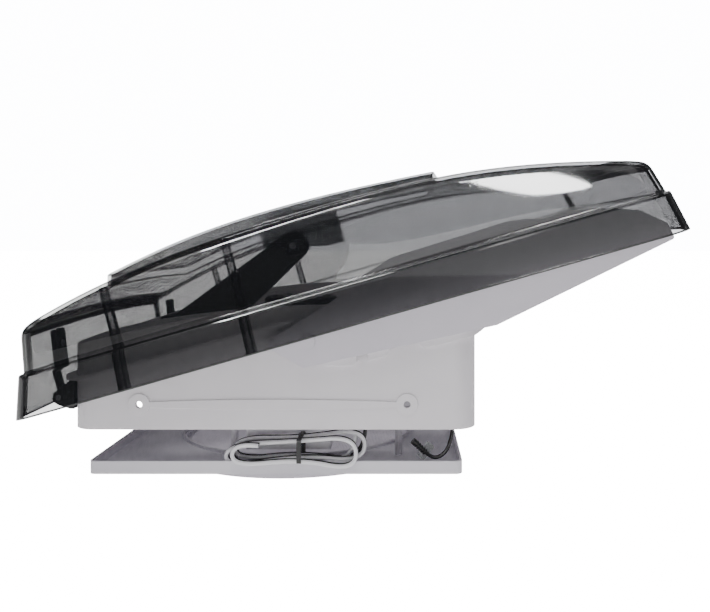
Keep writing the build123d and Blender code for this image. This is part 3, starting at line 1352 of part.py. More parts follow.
def sensor_plug():
    """The clear connector that leans in the tray behind the strain relief."""
    x, y, z = SENSOR_ROUTE[-1]
    lean = Rot(0, PLUG_LEAN, 0)
    body = Box(PLUG_HEIGHT, PLUG_WIDTH, PLUG_LENGTH)
    body = fillet(body.edges().filter_by(Axis.Z), SMALL_SCREW_R)
    turned = lean * body
    low = turned.bounding_box().min
    behind = y + RELIEF_R + SEAT_GAP - low.Y
    return Pos(x, behind, PANEL_FLOOR - low.Z) * turned


def numbered(make, number):
    """A maker of one numbered copy of a repeated piece."""
    return lambda: make(number)


PIECES = {
    "base_housing": base_housing,
    "fan_shroud": fan_shroud,
    "motor_bridge": motor_bridge,
    "bridge_screws": bridge_screws,
    "fan_motor": fan_motor,
    "motor_cap": motor_cap,
    "cap_screws": cap_screws,
    "motor_screws": motor_screws,
    "rotor_shaft": rotor_shaft,
    "fan_blade": fan_blade,
    "hub_clip": hub_clip,
    "lift_gearbox": lift_gearbox,
    "gearbox_cover": gearbox_cover,
    "lift_motor": lift_motor,
    "lift_shaft": lift_shaft,
    "lift_arm": lift_arm,
    "arm_pin": arm_pin,
    "lift_bracket": lift_bracket,
    "bracket_screws": bracket_screws,
    "lid_shell": lid_shell,
    "hinge_leaf_near": numbered(hinge_leaf, -1),
    "hinge_leaf_far": numbered(hinge_leaf, 1),
    "leaf_screws": leaf_screws,
    "hinge_bracket_near": numbered(hinge_bracket, -1),
    "hinge_bracket_far": numbered(hinge_bracket, 1),
    "hinge_pins": hinge_pins,
    "hinge_bracket_screws": bracket_wall_screws,
    "rain_shield": rain_shield,
    "shield_grille": shield_grille,
    "shield_pins": shield_pins,
    "ceiling_panel": ceiling_panel,
    "panel_posts": panel_posts,
    "panel_screws": panel_screws,
    "screen_bezel": screen_bezel,
    "insect_screen": insect_screen,
    "screen_latch_1": numbered(screen_latch, 0),
    "screen_latch_2": numbered(screen_latch, 1),
    "screen_latch_3": numbered(screen_latch, 2),
    "screen_latch_4": numbered(screen_latch, 3),
    "latch_pins": latch_pins,
    "keypad": keypad,
    "key_fan_low": numbered(key, 0),
    "key_fan_high": numbered(key, 1),
    "key_lid": numbered(key, 2),
    "key_power": numbered(key, 3),
    "sensor_window": sensor_window,
    "keypad_board": keypad_board,
    "control_box": control_box,
    "control_board": control_board,
    "box_screws": box_screws,
    "lead_grommets": lead_grommets,
    "lead_white": lead_white,
    "lead_black": lead_black,
    "cable_tie": cable_tie,
    "sensor_lead": sensor_lead,
    "sensor_relief": sensor_relief,
    "sensor_plug": sensor_plug,
}

os.makedirs("parts", exist_ok=True)
for name, make in PIECES.items():
    export_step(make(), f"parts/{name}.step")
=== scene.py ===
"""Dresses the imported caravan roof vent: its smoked lid, its net, its leads and every finish.

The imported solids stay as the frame. The lid's shell and ribs and the insect net are made here as
surfaces worked out with numpy, the leads as smooth curves, and every other solid keeps its shape
and gets the finish of the real piece. Lengths are millimetres until they go into a mesh.
"""
from __future__ import annotations

import logging
import math
from dataclasses import dataclass, field
from enum import Enum, IntEnum

import bpy
import numpy as np
from mathutils import Matrix, Vector

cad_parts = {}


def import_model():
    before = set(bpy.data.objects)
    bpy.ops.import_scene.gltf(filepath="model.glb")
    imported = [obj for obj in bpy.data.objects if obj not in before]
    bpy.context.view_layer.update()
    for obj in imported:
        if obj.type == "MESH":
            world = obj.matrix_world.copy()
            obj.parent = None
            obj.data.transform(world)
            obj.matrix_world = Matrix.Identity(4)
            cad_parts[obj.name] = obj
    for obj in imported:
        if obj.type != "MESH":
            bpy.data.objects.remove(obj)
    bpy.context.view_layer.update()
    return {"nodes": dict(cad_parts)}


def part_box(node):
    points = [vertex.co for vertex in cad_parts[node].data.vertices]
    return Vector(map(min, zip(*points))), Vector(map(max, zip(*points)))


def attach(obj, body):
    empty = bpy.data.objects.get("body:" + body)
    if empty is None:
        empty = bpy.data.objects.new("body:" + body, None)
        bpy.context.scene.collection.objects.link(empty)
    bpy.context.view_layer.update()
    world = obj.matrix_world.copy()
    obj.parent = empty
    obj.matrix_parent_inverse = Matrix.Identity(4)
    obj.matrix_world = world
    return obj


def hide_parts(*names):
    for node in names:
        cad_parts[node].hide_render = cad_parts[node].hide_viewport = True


LOG = logging.getLogger("roof_vent")
MM = 0.001
IMAGE_WIDTH = 710
IMAGE_HEIGHT = 612
# The IOR that a new shader has, which metals keep.
DEFAULT_IOR = 1.5
BUMP_STRENGTH = 0.35

Array = np.ndarray


class Body(str, Enum):
    """The moving bodies that pieces ride on."""

    FRAME = "frame"
    LID = "lid"


class BoxShape(str, Enum):
    """The outlines of the studio's soft boxes."""

    RECTANGLE = "RECTANGLE"
    ELLIPSE = "ELLIPSE"


class Wall(IntEnum):
    """The material slots of the lid's shell and ribs."""

    SHEET = 0
    CORNER = 1
    BEND = 2


def linear(code: str) -> tuple[float, float, float, float]:
    """Turn an sRGB hex colour to linear light.

    Each channel over 0.04045 is ((c + 0.055) / 1.055) to the power 2.4, and c / 12.92 below.

    Args:
        code: six hex digits.
    Returns:
        Linear red, green, blue and an alpha of one.
    """
    channels = [int(code[i:i + 2], 16) / 255 for i in (0, 2, 4)]
    light = [((c + 0.055) / 1.055) ** 2.4 if c > 0.04045 else c / 12.92 for c in channels]
    return (*light, 1.0)


def add_node(tree: bpy.types.NodeTree, kind: str, settings: dict | None = None,
             **inputs: object) -> bpy.types.Node:
    """Add a node with its settings, its socket values and its links.

    Args:
        tree: the node tree.
        kind: the node's type name.
        settings: attributes to set on the node.
        **inputs: socket names with underscores for spaces, or i and a socket's number, to
            values or output sockets.
    Returns:
        The node.
    """
    node = tree.nodes.new(kind)
    for key, value in (settings or {}).items():
        setattr(node, key, value)
    for key, value in inputs.items():
        numbered = key[0] == "i" and key[1:].isdigit()
        socket = node.inputs[int(key[1:]) if numbered else key.replace("_", " ")]
        if isinstance(value, bpy.types.NodeSocket):
            tree.links.new(value, socket)
        else:
            socket.default_value = value
    return node


@dataclass(frozen=True)
class Finish:
    """A finish with a plain surface, fine relief and slow changes of tone.

    grain_mm is the relief's spacing, relief_mm its depth, blotch_mm the size of the slow changes
    of tone between colour and shade, edge_mm the radius that rounds a solid's sharp edges in the
    shading, and rough_spread the share by which the grain changes the roughness.
    """

    name: str
    colour: str
    shade: str
    roughness: float
    ior: float = 1.46
    metallic: float = 0.0
    grain_mm: float = 1.5
    relief_mm: float = 0.02
    blotch_mm: float = 60.0
    edge_mm: float = 0.0
    transmission: float = 0.0
    grain_along: tuple[float, float, float] = (1.0, 1.0, 1.0)
    rough_spread: float = 0.15

    def material(self) -> bpy.types.Material:
        """Make the material, once for each name.

        Returns:
            The node material.
        """
        found = bpy.data.materials.get(self.name)
        if found:
            return found
        made = bpy.data.materials.new(self.name)
        made.use_nodes = True
        tree = made.node_tree
        shader = tree.nodes["Principled BSDF"]
        place = add_node(tree, "ShaderNodeTexCoord").outputs["Object"]
        slow = add_node(tree, "ShaderNodeTexNoise", Vector=place, Scale=1 / (self.blotch_mm * MM),
                        Detail=3.0, Roughness=0.55)
        # The mix node's colours are its inputs 6 and 7 and its output 2.
        tone = add_node(tree, "ShaderNodeMix", {"data_type": "RGBA"}, Factor=slow.outputs["Fac"],
                        i6=linear(self.shade), i7=linear(self.colour))
        tree.links.new(tone.outputs[2], shader.inputs["Base Color"])
        stretched = add_node(tree, "ShaderNodeMapping", Vector=place, Scale=self.grain_along)
        fine = add_node(tree, "ShaderNodeTexNoise", Vector=stretched.outputs["Vector"],
                        Scale=1 / (self.grain_mm * MM), Detail=2.0)
        rough = add_node(tree, "ShaderNodeMapRange", Value=fine.outputs["Fac"],
                         To_Min=self.roughness * (1 - self.rough_spread),
                         To_Max=self.roughness * (1 + self.rough_spread))
        tree.links.new(rough.outputs["Result"], shader.inputs["Roughness"])
        bump = add_node(tree, "ShaderNodeBump", Height=fine.outputs["Fac"], Strength=BUMP_STRENGTH,
                        Distance=self.relief_mm * MM)
        if self.edge_mm:
            rounded = add_node(tree, "ShaderNodeBevel", {"samples": 4}, Radius=self.edge_mm * MM)
            tree.links.new(rounded.outputs["Normal"], bump.inputs["Normal"])
        tree.links.new(bump.outputs["Normal"], shader.inputs["Normal"])
        shader.inputs["Metallic"].default_value = self.metallic
        shader.inputs["IOR"].default_value = DEFAULT_IOR if self.metallic else self.ior
        shader.inputs["Transmission Weight"].default_value = self.transmission
        return made


@dataclass(frozen=True)
class SmokedAcrylic:
    """Cast smoked acrylic: clear and dark, darker where the eye crosses more of its wall.

    Opacity is face_opacity up to a facing of graze_from and edge_opacity from graze_to on.
    shadow_share of it blocks the studio's light. wipe_mm is the size of the marks of wiping,
    where the roughness rises by wiped.
    """

    name: str
    tint: str
    face_opacity: float
    edge_opacity: float
    graze_from: float = 0.8
    graze_to: float = 1.0
    shadow_share: float = 0.5
    roughness: float = 0.02
    ior: float = 1.49
    specular: float = 0.7
    wipe_mm: float = 90.0
    wiped: float = 2.5

    def material(self) -> bpy.types.Material:
        """Make the material, once for its name.

        Opacity runs from its value at a face seen square to its value at a grazing view. Only a
        share of it blocks light, because the light's bounces inside the sheet aren't traced.

        Returns:
            The node material.
        """
        found = bpy.data.materials.get(self.name)
        if found:
            return found
        made = bpy.data.materials.new(self.name)
        made.use_nodes = True
        tree = made.node_tree
        shader = tree.nodes["Principled BSDF"]
        shader.inputs["Base Color"].default_value = linear(self.tint)
        shader.inputs["IOR"].default_value = self.ior
        shader.inputs["Specular IOR Level"].default_value = self.specular
        graze = add_node(tree, "ShaderNodeLayerWeight", Blend=0.5)
        opacity = add_node(tree, "ShaderNodeMapRange", {"interpolation_type": "SMOOTHSTEP"},
                           Value=graze.outputs["Facing"], From_Min=self.graze_from,
                           From_Max=self.graze_to, To_Min=self.face_opacity,
                           To_Max=self.edge_opacity)
        shade = add_node(tree, "ShaderNodeLightPath").outputs["Is Shadow Ray"]
        share = add_node(tree, "ShaderNodeMapRange", Value=shade, To_Min=1.0,
                         To_Max=self.shadow_share)
        blocked = add_node(tree, "ShaderNodeMath", {"operation": "MULTIPLY"},
                           i0=opacity.outputs["Result"], i1=share.outputs["Result"])
        tree.links.new(blocked.outputs["Value"], shader.inputs["Alpha"])
        place = add_node(tree, "ShaderNodeTexCoord").outputs["Object"]
        wipe = add_node(tree, "ShaderNodeTexNoise", Vector=place, Scale=1 / (self.wipe_mm * MM),
                        Detail=2.0)
        rough = add_node(tree, "ShaderNodeMapRange", Value=wipe.outputs["Fac"],
                         To_Min=self.roughness, To_Max=self.roughness * self.wiped)
        tree.links.new(rough.outputs["Result"], shader.inputs["Roughness"])
        return made


# Injection-moulded ABS, faintly cool, with a satin skin from a fine-blasted mould.
WHITE_ABS = Finish("satin_white_abs", "e9e5e9", "dedade", 0.36, 1.53, grain_mm=0.9,
                   relief_mm=0.012, edge_mm=0.6)
# The shield is the same resin, thinner. Its greyer colour is painted shade from the lid above it.
SHIELD_ABS_PAINTED_SHADE = Finish("satin_shield_abs_painted_shade", "dfdae2", "d3ced8", 0.40, 1.53, grain_mm=0.9,
                    relief_mm=0.012, edge_mm=0.5)
# The tray is moulded like the collar and seen mostly in shade.
PANEL_ABS = Finish("satin_panel_abs", "e6e4ea", "dcd9e0", 0.38, 1.53, grain_mm=0.9,
                   relief_mm=0.012, edge_mm=0.5)
# Glass-filled polypropylene for the duct, fan and bridge, duller than the collar.
DUCT_PP = Finish("white_polypropylene", "dddbe0", "cfccd4", 0.48, 1.49, relief_mm=0.02, edge_mm=0.5)
# Black nylon with a fine spark-eroded grain.
BLACK_NYLON = Finish("grained_black_nylon", "141417", "0d0d10", 0.42, 1.53, grain_mm=0.7,
                     relief_mm=0.03, blotch_mm=30, edge_mm=0.5)
# Black powder coat on the motors, slightly pebbled.
POWDER_COAT = Finish("black_powder_coat", "19191c", "101013", 0.45, 1.5, grain_mm=1.2,
                     relief_mm=0.05, blotch_mm=25, edge_mm=0.6)
# Bright zinc plate on turned screws and pins.
ZINC_PLATE = Finish("zinc_plated_steel", "b9bbbe", "9a9da2", 0.30, metallic=1.0, grain_mm=0.4,
                    relief_mm=0.01, blotch_mm=8)
# Brushed aluminium for the motor's cap.
BRUSHED_ALUMINIUM = Finish("brushed_aluminium", "c8cacd", "b5b8bc", 0.33, metallic=1.0,
                           grain_mm=0.35, relief_mm=0.012, grain_along=(0.05, 1.0, 1.0))
# Blued spring steel for the hub's clip.
SPRING_STEEL = Finish("blued_spring_steel", "55575c", "3b3d42", 0.35, metallic=1.0, grain_mm=0.5,
                      relief_mm=0.01, blotch_mm=6)
# Extruded PVC jackets, soft and satin.
WHITE_PVC = Finish("white_pvc_jacket", "eeedef", "dfdee2", 0.42, 1.52, grain_mm=0.8,
                   relief_mm=0.01, blotch_mm=20)
BLACK_PVC = Finish("black_pvc_jacket", "17171a", "0f0f12", 0.38, 1.52, grain_mm=0.8,
                   relief_mm=0.01, blotch_mm=20)
# Pale woven glass-fibre net, coated.
NET_FIBRE = Finish("coated_net_fibre", "e3e0e6", "d6d2da", 0.6, relief_mm=0.05, blotch_mm=12)
# Grey silicone key caps.
KEY_SILICONE = Finish("grey_silicone", "b4b4ba", "a5a5ac", 0.55, 1.41, relief_mm=0.02, blotch_mm=5)
# A deep red infrared window.
INFRARED_WINDOW = Finish("infrared_window", "2a0c12", "1b070b", 0.08, 1.58, relief_mm=0.0,
                         blotch_mm=5)
# Green lacquer over a glass-fibre board.
BOARD_LACQUER = Finish("green_board_lacquer", "1d5a34", "164a2a", 0.3, 1.5, grain_mm=0.5,
                       relief_mm=0.02, blotch_mm=6)
# Clear nylon of the plug.
CLEAR_NYLON = Finish("clear_nylon", "e9ecea", "dfe3e1", 0.12, 1.53, relief_mm=0.01, blotch_mm=5,
                     transmission=0.75)
# White background paper on the studio's floor.
STUDIO_PAPER = Finish("white_studio_paper", "ffffff", "fcfcfc", 0.9, relief_mm=0.0, blotch_mm=900)
# The lid's sheet, seen through twice at most places.
SMOKED = SmokedAcrylic("smoked_cast_acrylic", "0d0f13", 0.64, 0.84)
# It is nearly black where the eye looks along the sheet: the rim's face and the ribs' sides.
# On the rows at the rim, the ledge and the dome's and strip's edges it paints dark lines that
# stand in for the refraction inside the sheet at those rounded corners.
SMOKED_EDGE_ON_AND_PAINTED_LINES = SmokedAcrylic("smoked_acrylic_edge_on_and_painted_lines", "040506", 0.95, 0.99)
# Round its upright corners and top edge the eye soon looks through the sheet's own depth.
SMOKED_BEND = SmokedAcrylic("smoked_acrylic_bend", "090a0d", 0.64, 0.99, 0.4, 0.6)
# The ribs are half as thick as the sheet, so they take less light.
SMOKED_RIB = SmokedAcrylic("smoked_acrylic_rib", "0b0d10", 0.38, 0.95)
# The bracket's plates have the same tint and stand one behind another, so each takes less light.
SMOKED_PLATE = SmokedAcrylic("smoked_acrylic_plate", "0e1014", 0.42, 0.9)

NODE_FINISHES: dict[str, Finish | SmokedAcrylic] = {
    "base_housing": WHITE_ABS, "fan_shroud": DUCT_PP, "motor_bridge": DUCT_PP,
    "bridge_screws": ZINC_PLATE, "fan_motor": POWDER_COAT, "motor_cap": BRUSHED_ALUMINIUM,
    "cap_screws": ZINC_PLATE, "motor_screws": ZINC_PLATE, "rotor_shaft": ZINC_PLATE,
    "fan_blade": DUCT_PP, "hub_clip": SPRING_STEEL, "lift_gearbox": BLACK_NYLON,
    "gearbox_cover": BLACK_NYLON, "lift_motor": POWDER_COAT, "lift_shaft": ZINC_PLATE,
    "lift_arm": BLACK_NYLON, "arm_pin": ZINC_PLATE, "lift_bracket": SMOKED_PLATE,
    "bracket_screws": ZINC_PLATE, "hinge_leaf_near": BLACK_NYLON, "hinge_leaf_far": BLACK_NYLON,
    "leaf_screws": ZINC_PLATE, "hinge_bracket_near": BLACK_NYLON, "hinge_bracket_far": BLACK_NYLON,
    "hinge_pins": ZINC_PLATE, "hinge_bracket_screws": ZINC_PLATE, "rain_shield": SHIELD_ABS_PAINTED_SHADE,
    "shield_grille": SHIELD_ABS_PAINTED_SHADE, "shield_pins": SHIELD_ABS_PAINTED_SHADE, "ceiling_panel": PANEL_ABS,
    "panel_posts": DUCT_PP, "panel_screws": ZINC_PLATE, "screen_bezel": PANEL_ABS,
    "insect_screen": NET_FIBRE, "screen_latch_1": PANEL_ABS, "screen_latch_2": PANEL_ABS,
    "screen_latch_3": PANEL_ABS, "screen_latch_4": PANEL_ABS, "latch_pins": PANEL_ABS,
    "keypad": PANEL_ABS, "key_fan_low": KEY_SILICONE, "key_fan_high": KEY_SILICONE,
    "key_lid": KEY_SILICONE, "key_power": KEY_SILICONE, "sensor_window": INFRARED_WINDOW,
    "keypad_board": BOARD_LACQUER, "control_box": PANEL_ABS, "control_board": BOARD_LACQUER,
    "box_screws": ZINC_PLATE, "lead_grommets": BLACK_PVC, "cable_tie": BLACK_NYLON,
    "sensor_relief": BLACK_PVC, "sensor_plug": CLEAR_NYLON, "lid_shell": SMOKED,
    "lead_white": WHITE_PVC, "lead_black": BLACK_PVC, "sensor_lead": BLACK_PVC,
}


def mesh_object(name: str, points: Array, faces: list | Array, finish: Finish | SmokedAcrylic,
                smooth: bool = True) -> bpy.types.Object:
    """Make a mesh object from points in millimetres.

    Args:
        name: the piece's name.
        points: an array of x, y, z.
        faces: vertex numbers of each face.
        finish: the finish.
        smooth: whether its faces shade smoothly.
    Returns:
        The object, linked to the scene.
    """
    mesh = bpy.data.meshes.new(name)
    mesh.from_pydata((points * MM).tolist(), [], [list(map(int, f)) for f in faces])
    mesh.materials.append(finish.material())
    if smooth:
        mesh.polygons.foreach_set("use_smooth", np.ones(len(mesh.polygons), dtype=bool))
    mesh.update()
    made = bpy.data.objects.new(name, mesh)
    bpy.context.scene.collection.objects.link(made)
    return made


def ring_faces(rings: int, around: int, offset: int = 0) -> Array:
    """Join rings of equal counts into quads, closing each ring.

    Face (i, j) joins points j and j + 1 of ring i to those of ring i + 1.

    Args:
        rings: number of rings.
        around: points in each ring.
        offset: number of the first point.
    Returns:
        The quads.
    """
    row = np.arange(rings - 1)[:, None] * around
    here = np.arange(around)[None, :]
    after = (here + 1) % around
    quads = np.stack([row + here, row + after, row + around + after, row + around + here], axis=-1)
    return quads.reshape(-1, 4) + offset


def grid_faces(rows: int, columns: int) -> Array:
    """Join an open grid of points into quads.

    Face (i, j) joins points j and j + 1 of row i to those of row i + 1.

    Args:
        rows: number of rows.
        columns: points in each row.
    Returns:
        The quads.
    """
    here = np.arange(rows - 1)[:, None] * columns + np.arange(columns - 1)[None, :]
    quads = np.stack([here, here + 1, here + columns + 1, here + columns], axis=-1)
    return quads.reshape(-1, 4)


def turned_about_y(points: Array, x: float, z: float, degrees: float) -> Array:
    """Turn points about a line along Y.

    Args:
        points: an array of x, y, z.
        x: the line's x.
        z: the line's z.
        degrees: the turn, positive by the right hand about +Y.
    Returns:
        The turned points.
    """
    turn = math.radians(degrees)
    out = points.copy()
    dx, dz = points[..., 0] - x, points[..., 2] - z
    out[..., 0] = x + dx * math.cos(turn) + dz * math.sin(turn)
    out[..., 2] = z - dx * math.sin(turn) + dz * math.cos(turn)
    return out


@dataclass(frozen=True)
class SoftBox:
    """A soft box: where it hangs, the point it faces, its size and its power.

    lights says whether it lights matt surfaces and shines whether it shows in gloss. roll turns
    it about its own aim, in degrees.
    """

    name: str
    place: tuple[float, float, float]
    aim: tuple[float, float, float]
    size: tuple[float, float]
    power: float
    lights: bool = True
    shines: bool = True
    roll: float = 0.0
    shape: BoxShape = BoxShape.RECTANGLE

    def build(self) -> None:
        """Make the area light and hang it in its place."""
        data = bpy.data.lights.new(self.name, "AREA")
        data.shape = self.shape.value
        data.size, data.size_y = self.size[0] * MM, self.size[1] * MM
        data.energy = self.power
        made = bpy.data.objects.new(self.name, data)
        made.visible_diffuse, made.visible_glossy = self.lights, self.shines
        spot = Matrix.Translation([v * MM for v in self.place])
        away = (np.array(self.aim) - np.array(self.place)) * MM
        facing = Vector(away).to_track_quat("-Z", "Y").to_matrix().to_4x4()
        made.matrix_world = spot @ facing @ Matrix.Rotation(math.radians(self.roll), 4, "Z")
        bpy.context.scene.collection.objects.link(made)


# The first three light the object. The cards and windows are there for its gloss to mirror: a low
# card for the dome's side, one for the skirt, and windows for the dome's open end and the strip.
SOFT_BOXES = (
    SoftBox("key_box", (-100, -700, 1150), (60, 0, 40), (900, 500), 8.5, shines=False),
    SoftBox("top_strip", (60, -260, 900), (60, -60, 60), (1100, 110), 6.0),
    SoftBox("back_box", (200, 1100, 650), (60, 0, 120), (1200, 300), 5.0),
    SoftBox("front_card", (350, -1500, 130), (350, 0, 130), (900, 520), 3.6, lights=False),
    SoftBox("skirt_card", (0, -1500, 760), (0, 0, 100), (1900, 300), 2.0, lights=False),
    SoftBox("front_window", (440, -2190, 760), (440, 0, 760), (500, 92), 9.0, lights=False,
            roll=-5, shape=BoxShape.ELLIPSE),
    SoftBox("strip_window", (-430, -1500, 880), (-430, 0, 880), (560, 150), 20.0, lights=False,
            roll=40),
)


@dataclass
class Studio:
    """The camera of the photograph, soft boxes, a pale floor and a white surround.

    backdrop is how bright the surround and the floor look to the camera. Every other ray meets
    the weaker surround and floor_glow, so that the white around the object doesn't wash it out.
    """

    camera_place: tuple[float, float, float] = (115.2, -828.0, 167.4)
    focal_pixels: float = 744.0
    centre_pixels: tuple[float, float] = (405.0, 238.0)
    floor_z: float = -53.2
    floor_reach: float = 12000.0
    surround: float = 0.16
    surround_tone: str = "f4f5fa"
    backdrop: float = 16.0
    floor_glow: float = 0.5
    walls_passed: int = 32

    def build(self) -> None:
        """Make the camera, the lights and the floor, and let light pass the lid's many walls."""
        bpy.context.scene.cycles.transparent_max_bounces = self.walls_passed
        self.camera()
        for box in SOFT_BOXES:
            box.build()
        self.surroundings()
        self.floor()

    def glow(self, tree: bpy.types.NodeTree, unseen: float) -> bpy.types.NodeSocket:
        """A strength that is the backdrop's to the camera's rays and another to the rest.

        Args:
            tree: the node tree.
            unseen: the strength to every other ray.
        Returns:
            The strength's socket.
        """
        seen = add_node(tree, "ShaderNodeLightPath").outputs["Is Camera Ray"]
        strength = add_node(tree, "ShaderNodeMapRange", Value=seen, To_Min=unseen,
                            To_Max=self.backdrop)
        return strength.outputs["Result"]

    def camera(self) -> None:
        """Make the level camera, shifted so that its centre falls on the vanishing point."""
        data = bpy.data.cameras.new("camera")
        data.sensor_width = 36.0
        data.lens = self.focal_pixels * data.sensor_width / IMAGE_WIDTH
        data.shift_x = (IMAGE_WIDTH / 2 - self.centre_pixels[0]) / IMAGE_WIDTH
        data.shift_y = (self.centre_pixels[1] - IMAGE_HEIGHT / 2) / IMAGE_WIDTH
        data.clip_end = 100.0
        made = bpy.data.objects.new("camera", data)
        made.matrix_world = (Matrix.Translation([v * MM for v in self.camera_place])
                             @ Matrix.Rotation(math.pi / 2, 4, "X"))
        bpy.context.scene.collection.objects.link(made)
        bpy.context.scene.camera = made

    def surroundings(self) -> None:
        """Make the white surround."""
        world = bpy.context.scene.world or bpy.data.worlds.new("surround")
        bpy.context.scene.world = world
        world.use_nodes = True
        tree = world.node_tree
        back = tree.nodes["Background"]
        back.inputs["Color"].default_value = linear(self.surround_tone)
        tree.links.new(self.glow(tree, self.surround), back.inputs["Strength"])

    def floor(self) -> None:
        """Make the pale floor that the bezel stands on."""
        reach = self.floor_reach
        points = np.array([[-reach, -reach, self.floor_z], [reach, -reach, self.floor_z],
                           [reach, reach, self.floor_z], [-reach, reach, self.floor_z]])
        made = mesh_object("floor", points, [[0, 1, 2, 3]], STUDIO_PAPER)
        tree = made.data.materials[0].node_tree
        shader = tree.nodes["Principled BSDF"]
        shader.inputs["Emission Color"].default_value = linear("ffffff")
        tree.links.new(self.glow(tree, self.floor_glow), shader.inputs["Emission Strength"])


@dataclass
class Lid:
    """The smoked lid's shell and ribs, drawn closed and turned to its open place.

    Flares, ledges and drafts are for the low end, the high end and the sides, in that order.
    Points of the shares and of the crease are a share of the length, then a height: as a share
    of the dome's height, or in millimetres over the rim for the crease. foot_dark and top_dark
    are the rows of faces at the skirt's and at the dome's edges, the latter counted from the
    dome's top edge. These rows get painted dark lines: a near-black sheet that stands in for the
    refraction inside the sheet at its rim and rounded corners. strip_insets are those of the
    strip's wall where its edge begins to round, of the edge and of the end of the rounding.
    """

    length: float = 602.0
    width: float = 416.0
    low_x: float = -221.5
    rim_z: float = 19.2
    wall: float = 3.2
    hinge: tuple[float, float] = (-192.0, 26.0)
    open_degrees: float = 15.85
    skirt_height: float = 36.0
    skirt_flares: tuple[float, float, float] = (8.4, 5.0, 7.5)
    ledges: tuple[float, float, float] = (3.3, 3.0, 6.0)
    drafts: tuple[float, float, float] = (9.2, 14.0, 4.8)
    draft_rise: float = 100.0
    crease_points: tuple[tuple[float, float], ...] = (
        (0.0, 49.0), (0.59, 50.0), (0.72, 53.0), (0.79, 54.5), (0.90, 50.0), (1.0, 52.0))
    crease_lean: float = 3.8
    crease_soft: float = 2.5
    skirt_corner: float = 24.0
    dome_corner: float = 20.0
    dome_height: float = 104.0
    crown: float = 6.0
    edge: float = 8.0
    edge_gap: float = 0.6
    ledge_round: float = 2.0
    top_shares: tuple[tuple[float, float], ...] = (
        (-0.05, 0.54), (0.083, 0.775), (0.22, 0.921), (0.39, 0.99), (0.55, 1.0),
        (0.743, 0.922), (0.893, 0.743), (1.05, 0.48))
    strip_half: float = 130.0
    strip_corner: float = 5.0
    strip_top_corner: float = 3.5
    strip_insets: tuple[float, float, float] = (2.2, 2.4, 4.0)
    strip_shares: tuple[tuple[float, float], ...] = (
        (0.134, 0.979), (0.232, 1.08), (0.4, 1.15), (0.55, 1.13), (0.68, 1.077))
    rib_shares: tuple[float, float] = (0.169, 0.354)
    rib_width: float = 6.0
    rib_depth: float = 9.0
    rib_inner_y: float = 186.3
    rib_wall: float = 1.6
    rib_rows: int = 24
    rib_foot: float = 0.3
    side_points: int = 90
    end_points: int = 60
    corner_points: int = 14
    skirt_shares: tuple[float, ...] = (0.0, 0.045, 0.5, 0.85)
    wall_rows: int = 19
    edge_rows: int = 8
    top_rows: int = 8
    strip_rows: int = 11
    foot_dark: tuple[int, ...] = (0, 4, 5, 6)
    top_dark: tuple[int, ...] = (4, 5, 17, 19, 20, 21, 22)
    side_rows: int = field(init=False, default=0)

    def build(self) -> None:
        """Make the shell and the ribs, and let them stand for the lid's solid."""
        shell = self.shell()
        ribs = self.ribs()
        for piece in (shell, ribs):
            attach(piece, Body.LID.value)
        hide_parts("lid_shell")
        LOG.info("lid: %d shell points", len(shell.data.vertices))

    def curve(self, shares: tuple[tuple[float, float], ...], u: Array) -> Array:
        """Heights over the rim along a smooth line through shared points.

        A natural cubic spline through the points, worked out from its tridiagonal system.

        Args:
            shares: points as shares of the length and of the dome's height.
            u: distances from the low end.
        Returns:
            The heights.
        """
        x = np.array([a for a, _ in shares]) * self.length
        y = np.array([b for _, b in shares]) * self.dome_height
        h = np.diff(x)
        n = len(x)
        system = np.eye(n)
        right = np.zeros(n)
        for i in range(1, n - 1):
            system[i, i - 1:i + 2] = h[i - 1], 2 * (h[i - 1] + h[i]), h[i]
            right[i] = 6 * ((y[i + 1] - y[i]) / h[i] - (y[i] - y[i - 1]) / h[i - 1])
        m = np.linalg.solve(system, right)
        k = np.clip(np.searchsorted(x, u) - 1, 0, n - 2)
        a, b = x[k + 1] - u, u - x[k]
        return ((m[k] * a**3 + m[k + 1] * b**3) / (6 * h[k])
                + (y[k] / h[k] - m[k] * h[k] / 6) * a + (y[k + 1] / h[k] - m[k + 1] * h[k] / 6) * b)

    def top(self, u: Array, v: Array) -> Array:
        """The dome's height: its line along the length, plus a crown across the width."""
        half = self.width / 2
        return self.curve(self.top_shares, u) + self.crown * (1 - (v / half) ** 2)

    def plan(self, low: float, high: float, half: float, corner: float) -> Array:
        """Points round a rounded rectangle, with the same count on each side and corner.

        Args:
            low: its low end.
            high: its high end.
            half: its half width.
            corner: its corner radius.
        Returns:
            Points of u and v, anticlockwise from the near side's low end.
        """
        along = np.linspace(0, 1, self.side_points, endpoint=False)
        across = np.linspace(0, 1, self.end_points, endpoint=False)
        swing = np.linspace(0, math.pi / 2, self.corner_points, endpoint=False)
        left, right = low + corner, high - corner
        near, far = corner - half, half - corner
        parts = []
        sides = [
            ((left, -half), (right, -half), along, (right, near), -90),
            ((high, near), (high, far), across, (right, far), 0),
            ((right, half), (left, half), along, (left, far), 90),
            ((low, far), (low, near), across, (left, near), 180),
        ]
        for start, end, share, middle, begin in sides:
            straight = np.outer(1 - share, start) + np.outer(share, end)
            angle = math.radians(begin) + swing
            arc = np.array(middle) + corner * np.stack([np.cos(angle), np.sin(angle)], axis=1)
            parts += [straight, arc]
        return np.concatenate(parts)

